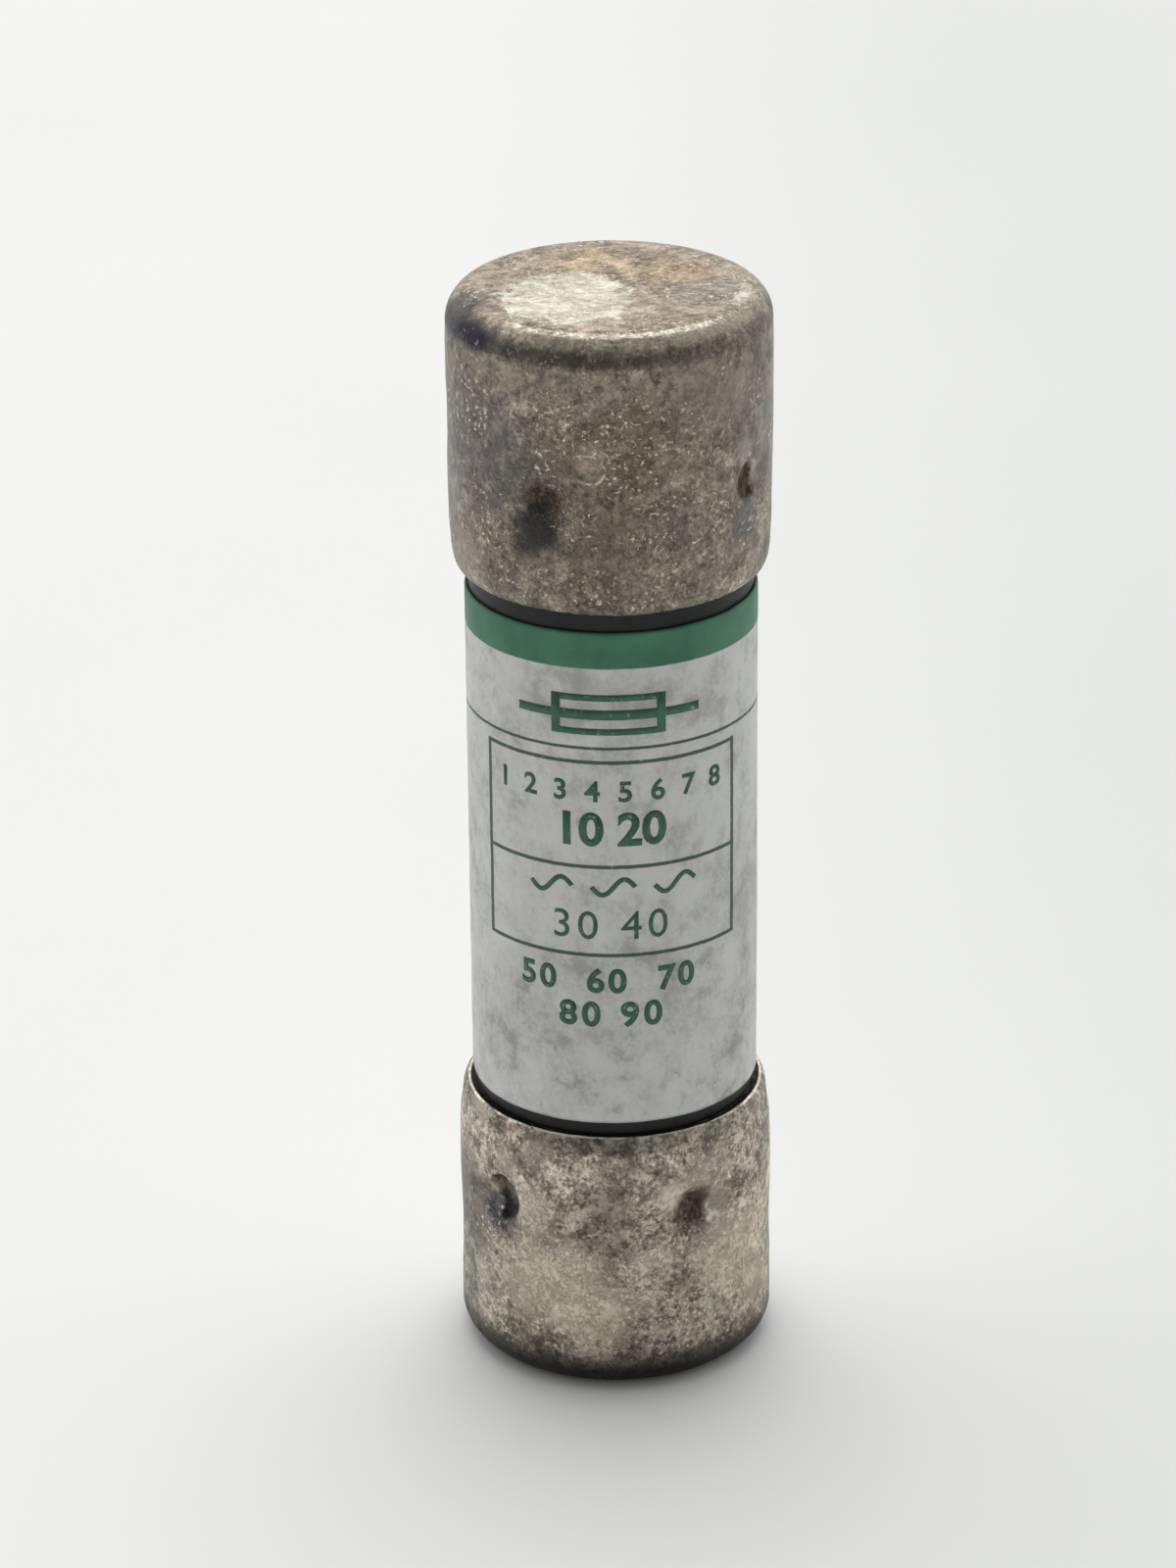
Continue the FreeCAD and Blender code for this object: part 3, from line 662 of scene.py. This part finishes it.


# film: four tones from dark to light, and steps, where they lie in the mottle.
# rough: azimuth, height, reach and how much more scratched and crusty the film is there.
# stains and painted light: azimuth, height, reach, strength and display colour of each light or dark area;
# most are stains, and those marked are painted highlights and painted shade.
# depth: the bump's depth in millimetres.
UPPER_TONES = {
    "film": (srgb(92, 86, 78), srgb(127, 119, 109), srgb(161, 151, 138), srgb(208, 196, 180)),
    "steps": (0.405, 0.47, 0.53, 0.595),
    "green": srgb(100, 102, 90),
    "pink": srgb(128, 109, 99),
    "pit": srgb(60, 55, 48),
    "dirt": srgb(48, 37, 26),
    "dirt_light": srgb(118, 93, 64),
    "crusty": 0.45,
    "islands": 0.25,
    "crust": srgb(146, 134, 116),
    "crust_light": srgb(196, 182, 160),
    "fleck": srgb(236, 226, 208),
    # The upper ferrule's bare colour is used for the painted highlight on its crest.
    "bare_and_highlight": srgb(226, 220, 206),
    "depth": 0.03,
    "rough": (
        (-14, 46.9, 2.4, 0.17),
        (-25, 44.7, 1.7, 0.16),
        (12, 47.2, 1.8, 0.14),
        (26, 45.4, 3.0, 0.12),
        (-56, 45.6, 1.8, 0.1),
        (8, 42.0, 2.4, 0.06),
        (-2, 39.6, 1.4, 0.1),
    ),
    "stains_and_painted_light": (
        (9, 47.1, 0.9, 0.5, (158, 146, 128)),
        (-54, 44.8, 3.6, 0.45, (90, 92, 100)),
        # The next two: painted highlights, both sides paler where they reflect the bright room beside the
        # fuse.
        (-88, 43.0, 3.8, 0.35, (150, 146, 142)),
        (86, 45.0, 3.8, 0.5, (166, 162, 156)),
        (-60, 48.2, 2.0, 0.4, (90, 88, 86)),
        (64, 49.2, 1.4, 0.35, (110, 106, 98)),
        (69, 50.3, 1.0, 0.5, (98, 94, 88)),
        (50, 47.4, 2.0, 0.4, (168, 160, 148)),
        (34, 47.8, 2.0, 0.4, (160, 150, 138)),
        (-64, 39.6, 1.8, 0.4, (176, 165, 156)),
        (66, 45.6, 2.4, 0.3, (96, 100, 98)),
        (56, 44.6, 0.9, 0.5, (186, 182, 174)),
        (4, 45.2, 4.0, 0.4, (104, 88, 68)),
        (-6, 40.6, 2.8, 0.38, (128, 108, 96)),
        (-30, 44.2, 2.4, 0.4, (86, 91, 84)),
        (-7, 45.4, 1.0, 0.65, (186, 170, 150)),
        (-20, 45.4, 0.9, 0.4, (156, 148, 134)),
        (19, 42.6, 1.2, 0.4, (94, 84, 75)),
        (73, 43.3, 0.9, 0.5, (84, 84, 72)),
        (-25, 43.3, 0.7, 0.6, (96, 72, 52)),
        # The next two: painted shade, the dark reflection below the front stake's dent.
        (-26.4, 41.9, 1.75, 0.74, (46, 44, 42)),
        (-29.5, 41.5, 1.5, 0.6, (58, 58, 58)),
        (58, 41.4, 1.5, 0.5, (108, 114, 118)),
        # The next two: painted highlights at the right stake, a glint on its curled tongue and a light lip on
        # its dent's left.
        (62.5, 43.65, 0.4, 0.9, (246, 236, 214)),
        (48, 43.4, 0.6, 0.35, (150, 150, 146)),
        (154, 41.8, 1.6, 0.6, (56, 54, 52)),
        (244, 42.2, 1.9, 0.5, (66, 66, 66)),
    ),
}
LOWER_TONES = {
    "film": (srgb(96, 88, 79), srgb(148, 138, 126), srgb(198, 185, 170), srgb(246, 233, 216)),
    "steps": (0.43, 0.48, 0.52, 0.565),
    "green": srgb(146, 144, 128),
    "pink": srgb(178, 156, 144),
    "pit": srgb(80, 71, 62),
    "dirt": srgb(56, 50, 41),
    "dirt_light": srgb(116, 105, 90),
    "crusty": 0.8,
    "islands": 0.42,
    "crust": srgb(204, 188, 171),
    "crust_light": srgb(240, 226, 206),
    "fleck": srgb(250, 244, 230),
    "bare_and_highlight": srgb(246, 242, 232),
    "depth": 0.05,
    "rough": (
        (14, 8.9, 1.3, 0.2),
        (-32, 7.0, 2.6, 0.1),
        (24, 4.6, 4.0, 0.08),
        (46, 10.4, 2.2, 0.1),
        (2, 8.4, 3.0, -0.12),
        (150, 6.0, 4.0, 0.08),
        (230, 8.0, 4.0, 0.06),
    ),
    "stains_and_painted_light": (
        (-22, 5.2, 3.3, 0.62, (240, 228, 206)),
        (-8, 3.5, 2.3, 0.6, (236, 225, 202)),
        (-38, 4.8, 2.0, 0.35, (214, 198, 182)),
        (-33, 8.8, 1.7, 0.6, (216, 204, 192)),
        (9.5, 6.5, 0.95, 0.65, (230, 217, 203)),
        (18, 6.6, 0.9, 0.45, (228, 214, 199)),
        (38, 10.5, 1.7, 0.4, (206, 194, 178)),
        (24, 5.2, 1.2, 0.3, (106, 92, 79)),
        (10, 4.4, 1.0, 0.45, (224, 210, 192)),
        (46, 6.3, 2.8, 0.5, (228, 216, 194)),
        (64, 3.8, 2.4, 0.45, (206, 196, 174)),
        (-4, 9.3, 2.1, 0.52, (104, 97, 88)),
        (4, 11.3, 1.7, 0.4, (106, 100, 91)),
        (0, 7.2, 1.5, 0.4, (108, 100, 90)),
        (-62, 8.7, 1.4, 0.55, (92, 94, 84)),
        (-60, 6.3, 1.9, 0.45, (112, 104, 96)),
        (-30, 11.6, 1.2, 0.4, (206, 196, 184)),
        (22, 2.8, 1.6, 0.18, (112, 98, 86)),
        (-67, 12.8, 1.0, 0.4, (208, 202, 194)),
        # Partly blue tarnish and partly painted shade, in the left stake's dent.
        (-50, 7.9, 1.6, 0.8, (52, 54, 72)),
        (-36, 9.0, 0.9, 0.5, (226, 214, 200)),
        # Painted highlight: a glint on the left stake's tongue tip.
        (-52, 9.1, 0.55, 0.8, (216, 203, 182)),
        (-44, 10.6, 0.9, 0.6, (206, 200, 188)),
        (41, 9.0, 1.0, 0.6, (184, 178, 160)),
        (33, 7.5, 1.2, 0.3, (106, 98, 90)),
        (31, 10.3, 1.1, 0.6, (202, 190, 174)),
        (21, 9.6, 1.1, 0.85, (226, 216, 202)),
        (41, 12.1, 1.3, 0.4, (96, 94, 84)),
        (170, 5.0, 3.4, 0.45, (194, 186, 162)),
        (126, 7.6, 1.6, 0.6, (70, 70, 80)),
        (216, 7.8, 1.8, 0.5, (78, 74, 72)),
    ),
}


def stake(azimuth, sheared, gap, scoop, edge=0.05, end=0.04, opening=0.6, cut=0.82):
    """One stake: its azimuth, the direction of its sheared edge (0 to the right as seen from outside,
    90 up), the width of its opening, the depth of its tongue, how soft the two edges of the opening are,
    the opening's depth, and the radius of the cut."""
    names = "azimuth sheared gap scoop edge end opening cut".split()
    return dict(zip(names, (azimuth, sheared, gap, scoop, edge, end, opening, cut)))


# The height of each ferrule's stakes from its closed end, and the stakes.
UPPER_STAKES_AT, LOWER_STAKES_AT = 7.78, 8.7
UPPER_STAKES = [
    stake(-25, 94, 1.15, 0.3, 0.1, 0.3, 0.32),
    stake(60, 176, 1.0, 0.08, 0.05, 0.04, 0.28),
    stake(154, 60, 0.6, 0.45),
    stake(244, 118, 0.7, 0.4),
]
LOWER_STAKES = [
    stake(-48.5, 24, 1.15, 0.22, 0.05, 0.05, 0.38, 1.05),
    stake(31.5, 172, 1.3, 0.05, 0.2, 0.03, 0.42, 0.9),
    stake(126, 84, 0.7, 0.4),
    stake(216, 122, 0.6, 0.45),
]
# Each wall's outline: heights from the closed end, and radii.
UPPER_OUTLINE = [(1.4, 7.15), (2.4, 7.15), (4.2, 7.14), (7.6, 7.15), (9.2, 7.14), (10.4, 7.11), (11.3, 7.06)]
LOWER_OUTLINE = [(1.4, 7.15), (2.6, 7.14), (5.0, 7.1), (7.6, 7.16), (9.4, 7.17), (11.0, 7.12), (12.1, 6.96)]

METALS = [
    tarnished("tarnished_lower", 0, LOWER_TONES, LOWER_STAKES, LOWER_STAKES_AT),
    tarnished("tarnished_upper", 1, UPPER_TONES, UPPER_STAKES, UPPER_STAKES_AT),
]
ferrule("lower_ferrule_shell", "ferrule_lower", 0, -54, LOWER_STAKES_AT, LOWER_STAKES, LOWER_OUTLINE)
ferrule("upper_ferrule_shell", "ferrule_upper", 1, -26, UPPER_STAKES_AT, UPPER_STAKES, UPPER_OUTLINE)


# ---- label

# The printed lines and the ruled box: heights, azimuths in degrees, and the overlap at the back.
LINE_HEIGHT = 31.71
BOX_TOP, BOX_MIDDLE, BOX_BOTTOM = 31.04, 26.03, 21.73
BOX_LEFT, BOX_RIGHT = -56, 54
BAND_BOTTOM = 35.46
LINE_WIDTH = 0.18
LAP = 1.5
LAP_AZIMUTH = math.pi


def label_radius(azimuth, z):
    """The label's outer surface: a slightly uneven wrap; the climb over its own end at the back is added in
    make_label.
    """
    places = around(azimuth, TUBE_RADIUS, z)
    uneven = 0.006 * waves(places, 2.4, 5) + 0.003 * waves(places, 0.9, 6)
    return TUBE_RADIUS + 0.03 + PAPER + uneven


def make_label():
    """The wrapped paper, from the end that is underneath, round the front and over it at the back."""
    lap = LAP / TUBE_RADIUS
    azimuth = np.linspace(LAP_AZIMUTH - 2 * math.pi - lap, LAP_AZIMUTH + lap, int(300 * QUALITY))
    climb = smooth(azimuth, LAP_AZIMUTH - 2.4 * lap, LAP_AZIMUTH - lap) * (PAPER + 0.02)
    rise = graded(0, 1, lambda t: 0.006 if min(t, 1 - t) < 0.02 else 0.022)
    frayed = waves(np.stack([azimuth, 0 * azimuth, 0 * azimuth], -1) * TUBE_RADIUS, 0.5, 8)
    top = LABEL_TOP - 0.015 * (1 + frayed)
    bottom = LABEL_BOTTOM + 0.01 * frayed
    z = bottom + (top - bottom) * rise[:, None]
    around_all = np.broadcast_to(azimuth, z.shape)
    outer = label_radius(around_all, z) + climb
    rounded = 0.03 * (smooth(rise, 0, 0.004) - 1 + smooth(1 - rise, 0, 0.004) - 1)
    outer = outer + rounded[:, None]
    inner = outer - PAPER
    shell = np.concatenate([around(around_all, outer, z), around(around_all, inner, z)[::-1]])
    rows, columns = shell.shape[:2]
    faces = quads(rows, columns, wrap_rows=True)
    for column in (0, columns - 1):
        edge = [row * columns + column for row in range(rows)]
        half = rows // 2
        for step in range(half - 1):
            faces.append((edge[step], edge[step + 1], edge[rows - 2 - step], edge[rows - 1 - step]))
    mesh = mesh_from("label_wrap", shell.reshape(-1, 3), faces)
    piece = link("label_wrap", mesh, paper_look())
    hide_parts("label")


def paper_look():
    """Silver-grey coated paper with a green band, a line and a ruled box, all a little worn, and a painted
    shadow along its top edge.
    """
    look = Look("label_coated_paper")
    stain = look.noise(1.0, 6.0, 0.66, 12.0)
    cloud = look.noise(5.0, 3.0, 0.5, 19.0)
    fibre = look.noise(0.09, 2.0, 0.6, 27.0)
    smear = look.noise(0.5, 6.0, 0.72, 33.0, (1, 1, 0.7))
    tones = (0.4, srgb(176, 176, 170)), (0.49, srgb(200, 201, 198)), (0.57, srgb(210, 211, 210))
    paper = look.ramp(stain * 0.55 + cloud * 0.3 + fibre * 0.15, *tones)
    spots = look.noise(0.5, 5.0, 0.7, 47.0).rise(0.43, 0.32)
    grime = ((stain.rise(0.46, 0.34) + spots * 0.8) * look.z.rise(26, 16, 0.45, 1.0)).at_most(1.0)
    paper = look.mix(grime * 0.5, paper, srgb(138, 137, 126))
    paper = look.mix(smear.rise(0.54, 0.64) * 0.35, paper, srgb(156, 156, 148))

    azimuth = look.x.math("ARCTAN2", look.y * -1)
    wander = (look.noise(0.25, 3.0, 0.6, 71.0) - 0.5) * 0.05
    height = look.z + wander
    arc = azimuth * TUBE_RADIUS + wander
    left, right = (math.radians(side) * TUBE_RADIUS for side in (BOX_LEFT, BOX_RIGHT))
    half, soft = LINE_WIDTH / 2, 0.025
    across = arc.band((left + right) / 2, (right - left) / 2 + half, soft)
    up = height.band((BOX_TOP + BOX_BOTTOM) / 2, (BOX_TOP - BOX_BOTTOM) / 2 + half, soft)
    lines = height.band(LINE_HEIGHT, half * 0.8, soft)
    for level in (BOX_TOP, BOX_MIDDLE, BOX_BOTTOM):
        lines = lines.at_least(height.band(level, half, soft) * across)
    for side in (left, right):
        lines = lines.at_least(arc.band(side, half * 1.2, soft) * up)
    lines = lines * look.noise(0.12, 3.0, 0.7, 81.0).rise(0.28, 0.4, 0.55, 0.95)
    band = height.rise(BAND_BOTTOM - 0.03, BAND_BOTTOM + 0.03)
    green = look.ramp(look.noise(1.2, 4.0, 0.6, 95.0), (0.35, srgb(56, 110, 84)), (0.6, srgb(68, 128, 98)))
    colour = look.mix(band, paper, green)
    colour = look.mix(lines, colour, srgb(44, 76, 61))
    # Painted shadow: a dark line along the label's top edge.
    top_edge_shadow = look.z.rise(LABEL_TOP - 0.12, LABEL_TOP - 0.02)
    colour = look.mix(top_edge_shadow * 0.6, colour, srgb(44, 60, 52))
    roughness = 0.42 + stain * 0.2
    relief = fibre * 0.4 + look.noise(0.9, 3.0, 0.5, 99.0) * 0.8 - lines * 0.3
    return look.finish(colour, roughness, relief, 0.012, Metallic=0.25)


def ink_look():
    """Green print with pinholes where the paper shows."""
    look = Look("label_print_ink")
    gaps = look.noise(0.13, 3.0, 0.7, 14.0).rise(0.3, 0.4)
    tone = look.noise(0.5, 3.0, 0.6, 25.0)
    green = look.ramp(tone, (0.35, srgb(38, 84, 62)), (0.65, srgb(54, 104, 78)))
    colour = look.mix(gaps, srgb(140, 150, 144), green)
    return look.finish(colour, 0.5, tone, 0.004)


# ---- print

def written(text, size, weight, spacing=1.0):
    """Plain numbers as a flat curve."""
    curve = bpy.data.curves.new("numbers", "FONT")
    curve.body, curve.size, curve.offset = text, size, weight
    curve.space_character = spacing
    curve.align_x, curve.align_y = "CENTER", "CENTER"
    return curve


def drawn(*loops):
    """Closed outlines as a flat curve, filled between them."""
    curve = bpy.data.curves.new("symbol", "CURVE")
    curve.dimensions, curve.fill_mode = "2D", "BOTH"
    for loop in loops:
        spline = curve.splines.new("POLY")
        spline.points.add(len(loop) - 1)
        for point, (x, y) in zip(spline.points, loop):
            point.co = (x, y, 0, 1)
        spline.use_cyclic_u = True
    return curve


def rectangle(x, y, width, height):
    """The corners of a rectangle about a point."""
    return [(x + a * width / 2, y + b * height / 2) for a, b in ((-1, -1), (1, -1), (1, 1), (-1, 1))]


def wave(width, height, stroke):
    """The outline of a stroke along one turn of a sine."""
    t = np.linspace(-0.5, 0.5, 48)
    middle = np.stack([t * width, np.sin(t * 2 * math.pi) * height / 2], -1)
    slope = np.gradient(middle, axis=0)
    side = np.stack([-slope[:, 1], slope[:, 0]], -1) / np.linalg.norm(slope, axis=1)[:, None]
    return (middle + side * stroke / 2).tolist() + (middle - side * stroke / 2)[::-1].tolist()


def filled(curve, strip):
    """The inside of a flat curve's outlines as points and triangles, cut into strips that can be bent."""
    holder = bpy.data.objects.new("holder", curve)
    bpy.context.scene.collection.objects.link(holder)
    bpy.context.view_layer.update()
    mesh = bpy.data.meshes.new_from_object(holder.evaluated_get(bpy.context.evaluated_depsgraph_get()))
    bpy.data.objects.remove(holder)
    bpy.data.curves.remove(curve)
    places = np.array([tuple(vertex.co)[:2] for vertex in mesh.vertices])
    turns = Counter()
    for polygon in mesh.polygons:
        corners = list(polygon.vertices)
        for pair in zip(corners, corners[1:] + corners[:1]):
            turns[pair] += 1
            turns[pair[::-1]] -= 1
    bpy.data.meshes.remove(mesh)
    outline = [pair for pair, count in turns.items() for _ in range(count)]
    below, above = places.min(0) - 0.1, places.max(0) + 0.1
    cuts = np.arange(below[0] + strip / 2, above[0], strip)
    points = places.tolist() + [(x, y) for x in cuts for y in (below[1], above[1])]
    edges = outline + [(len(points) - 2 * k - 2, len(points) - 2 * k - 1) for k in range(len(cuts))]
    flat, _, triangles, *_ = delaunay_2d_cdt([Vector(point) for point in points], edges, [], 0, 1e-4)
    flat = np.array([tuple(point) for point in flat])
    triangles = np.array([tuple(triangle) for triangle in triangles])

    start, end = (places[[pair[k] for pair in outline]] for k in (0, 1))
    across, up = (end - start).T
    x, y = flat[triangles].mean(1).T[:, :, None]
    side = across * (y - start[:, 1]) - up * (x - start[:, 0])
    rising, falling = (start[:, 1] <= y) & (end[:, 1] > y), (start[:, 1] > y) & (end[:, 1] <= y)
    inside = ((rising & (side > 0)).sum(1) - (falling & (side < 0)).sum(1)) != 0
    used, triangles = np.unique(triangles[inside], return_inverse=True)
    return flat[used], triangles.reshape(-1, 3).tolist()


def printed(name, curve, azimuth, z):
    """Lay a flat curve, in millimetres, on the label as a thin closed film of ink."""
    gap, film = 0.004, 0.01
    curve.resolution_u = 5
    flat, triangles = filled(curve, 0.3)
    sides = {pair for corners in triangles for pair in zip(corners, corners[1:] + corners[:1])}
    rim = sorted(pair for pair in sides if pair[::-1] not in sides)
    count = len(flat)
    faces = [[corner + count for corner in corners] for corners in triangles]
    faces += [corners[::-1] for corners in triangles] + [(a, b, b + count, a + count) for a, b in rim]
    angle, height = math.radians(azimuth) + flat[:, 0] / TUBE_RADIUS, z + flat[:, 1]
    paper = label_radius(angle, height)
    points = [around(angle, paper + lift, height) for lift in (gap, gap + film)]
    mesh = bpy.data.meshes.new(name)
    mesh.from_pydata((np.vstack(points) * MM).tolist(), [], faces)
    mesh.shade_smooth()
    link(name, mesh, INK)


make_label()
INK = ink_look()
body = [(-4.1, -0.2), (-2.5, -0.2), (-2.5, -0.95), (2.5, -0.95), (2.5, -0.2), (4.1, -0.2)]
fuse_symbol = drawn(
    body + [(-x, -y) for x, y in body],
    rectangle(0, 0.44, 4.2, 0.42),
    rectangle(0, -0.44, 4.2, 0.42),
)
printed("print_fuse_symbol", fuse_symbol, -1.5, 33.3)
printed("print_scale_numbers", written("1  2  3  4  5  6  7  8", 1.35, 0.03), -1.5, 29.6)
printed("print_large_numbers", written("10 20", 2.15, 0.07), -1.0, 27.75)
for side, azimuth in (("left", -25), ("middle", 0), ("right", 25)):
    printed("print_wave_" + side, drawn(wave(1.9, 0.75, 0.22)), azimuth, 25.05)
printed("print_thin_numbers", written("30 40", 1.95, 0.0, 1.2), -1.5, 23.1)
printed("print_small_numbers", written("50  60  70", 1.6, 0.05, 1.2), -3, 20.4)
printed("print_low_numbers", written("80 90", 1.65, 0.05, 1.25), -1.5, 18.75)


# ---- the CAD pieces that stay

def give(node, material):
    """A CAD node keeps its shape and takes a better material."""
    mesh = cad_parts[node].data
    if not mesh.materials:
        mesh.materials.append(material)
    for index in range(len(mesh.materials)):
        mesh.materials[index] = material


def plain_look(name, size, dark, light, roughness, depth, **constants):
    """A material of one stuff: two tones of it in patches of the given size, over a fine grain."""
    look = Look(name)
    patches = look.noise(size, 4.0, 0.6, 4.0)
    grain = look.noise(size * 0.15, 3.0, 0.6, 8.0)
    colour = look.ramp(patches * 0.6 + grain * 0.4, (0.38, dark), (0.62, light))
    return look.finish(colour, patches * 0.2 + (roughness - 0.1), grain, depth, **constants)


laminate = Look("black_laminate")
weave = laminate.noise(0.22, 3.0, 0.55, 6.0, (1, 1, 2.6))
streak = laminate.noise(0.9, 4.0, 0.6, 15.0, (1, 1, 0.3))
tones = (0.36, srgb(14, 16, 18)), (0.66, srgb(30, 32, 34))
laminate_colour = laminate.ramp(weave * 0.5 + streak * 0.5, *tones)
give("tube", laminate.finish(laminate_colour, weave * 0.3 + 0.3, weave, 0.015, Specular_IOR_Level=0.3))

tones = srgb(170, 168, 164), srgb(214, 212, 208)
give("fuse_element", plain_look("silver_strip", 0.8, *tones, 0.35, 0.01, Metallic=1.0))
tones = srgb(186, 178, 160), srgb(232, 226, 212)
give("sand_filler", plain_look("packed_quartz_sand", 0.25, *tones, 0.85, 0.12))
for end in ("lower", "upper"):
    tones = srgb(120, 74, 58), srgb(158, 102, 80)
    give("washer_" + end, plain_look("pressed_fibre_" + end, 0.5, *tones, 0.7, 0.03))
    tones = srgb(128, 128, 126), srgb(178, 178, 176)
    give("solder_" + end, plain_look("soft_solder_" + end, 1.1, *tones, 0.4, 0.03, Metallic=0.9))


# ---- floor, light and camera

# The light's strength in front, behind, in the overhead softbox, and as the camera sees the far room.
ROOM_FRONT, ROOM_BACK, SOFTBOX, BACKDROP = 0.3, 1.1, 1.6, 0.88
ROOM_CHANGE = -0.35, 0.3
SOFTBOX_TILT = 32
SOFTBOX_EDGES = 36, 14


def make_floor():
    """A seamless pale sheet, with painted shade that darkens it towards the right."""
    half_size, steps, gap = 1600, 24, 0.002
    side = np.linspace(-half_size, half_size, steps)
    x, y = np.meshgrid(side, side)
    points = np.stack([x, y, 0 * x - gap], -1).reshape(-1, 3)
    mesh = mesh_from("floor_sheet", points, quads(steps, steps))
    if mesh.polygons[0].normal.z < 0:
        mesh.flip_normals()
    look = Look("pale_floor")
    tone = look.noise(34.0, 3.0, 0.5, 2.0)
    # Painted shade: the floor darker towards the right, as if the light came a little from the left.
    right_side_shade = look.x.rise(-14, 34, 0.0, 1.0)
    colour = look.ramp(tone * 0.35 + right_side_shade * 0.65, (0.1, srgb(243, 244, 243)), (0.9, srgb(227, 229, 228)))
    mesh.materials.append(look.finish(colour, 0.75, look.noise(1.5, 2.0, 0.5, 8.0), 0.01))
    floor = bpy.data.objects.new("floor_sheet", mesh)
    bpy.context.scene.collection.objects.link(floor)


def make_world():
    """Studio light: a pale room behind, a broad soft light overhead and behind, and a dim room in front."""
    world = bpy.data.worlds.new("studio")
    bpy.context.scene.world = world
    world.use_nodes = True
    tree = world.node_tree
    direction = tree.nodes.new("ShaderNodeTexCoord").outputs["Generated"]
    split = tree.nodes.new("ShaderNodeSeparateXYZ")
    tree.links.new(direction, split.inputs[0])
    y, z = (Value(tree, part) for part in split.outputs[1:])
    tilt = math.radians(SOFTBOX_TILT)
    towards = y * math.sin(tilt) + z * math.cos(tilt)
    edges = [math.cos(math.radians(angle)) for angle in SOFTBOX_EDGES]
    strength = y.rise(*ROOM_CHANGE, ROOM_FRONT, ROOM_BACK) + towards.rise(*edges, 0.0, SOFTBOX)
    seen = Value(tree, tree.nodes.new("ShaderNodeLightPath").outputs["Is Camera Ray"])
    strength = strength * (1 - seen) + seen * BACKDROP
    background = tree.nodes["Background"]
    background.inputs["Color"].default_value = (1.0, 0.998, 0.99, 1.0)
    tree.links.new(strength.socket, background.inputs["Strength"])


# The camera: its place in millimetres, its downward tilt, turn and roll in degrees, and its lens.
CAMERA_PLACE = 0, -234.75, 131.2
CAMERA_ANGLES = 23.9, -0.27, -0.55
CAMERA_LENS, SENSOR_WIDTH = 131.2, 36


def make_camera():
    """The camera, at the distance and tilt that give the fuse its perspective."""
    pitch, yaw, roll = (math.radians(angle) for angle in CAMERA_ANGLES)
    ahead = Vector((math.sin(yaw) * math.cos(pitch), math.cos(yaw) * math.cos(pitch), -math.sin(pitch)))
    right = Vector((math.cos(yaw), -math.sin(yaw), 0))
    up = right.cross(ahead)
    right, up = math.cos(roll) * right + math.sin(roll) * up, math.cos(roll) * up - math.sin(roll) * right
    data = bpy.data.cameras.new("camera")
    data.lens, data.sensor_width = CAMERA_LENS, SENSOR_WIDTH
    data.clip_start, data.clip_end = 0.01, 10
    camera = bpy.data.objects.new("camera", data)
    bpy.context.scene.collection.objects.link(camera)
    rotation = Matrix((right, up, -ahead)).transposed().to_4x4()
    camera.matrix_world = Matrix.Translation(Vector(CAMERA_PLACE) * MM) @ rotation
    bpy.context.scene.camera = camera


make_floor()
make_world()
make_camera()
bpy.context.scene.view_settings.view_transform = "Standard"
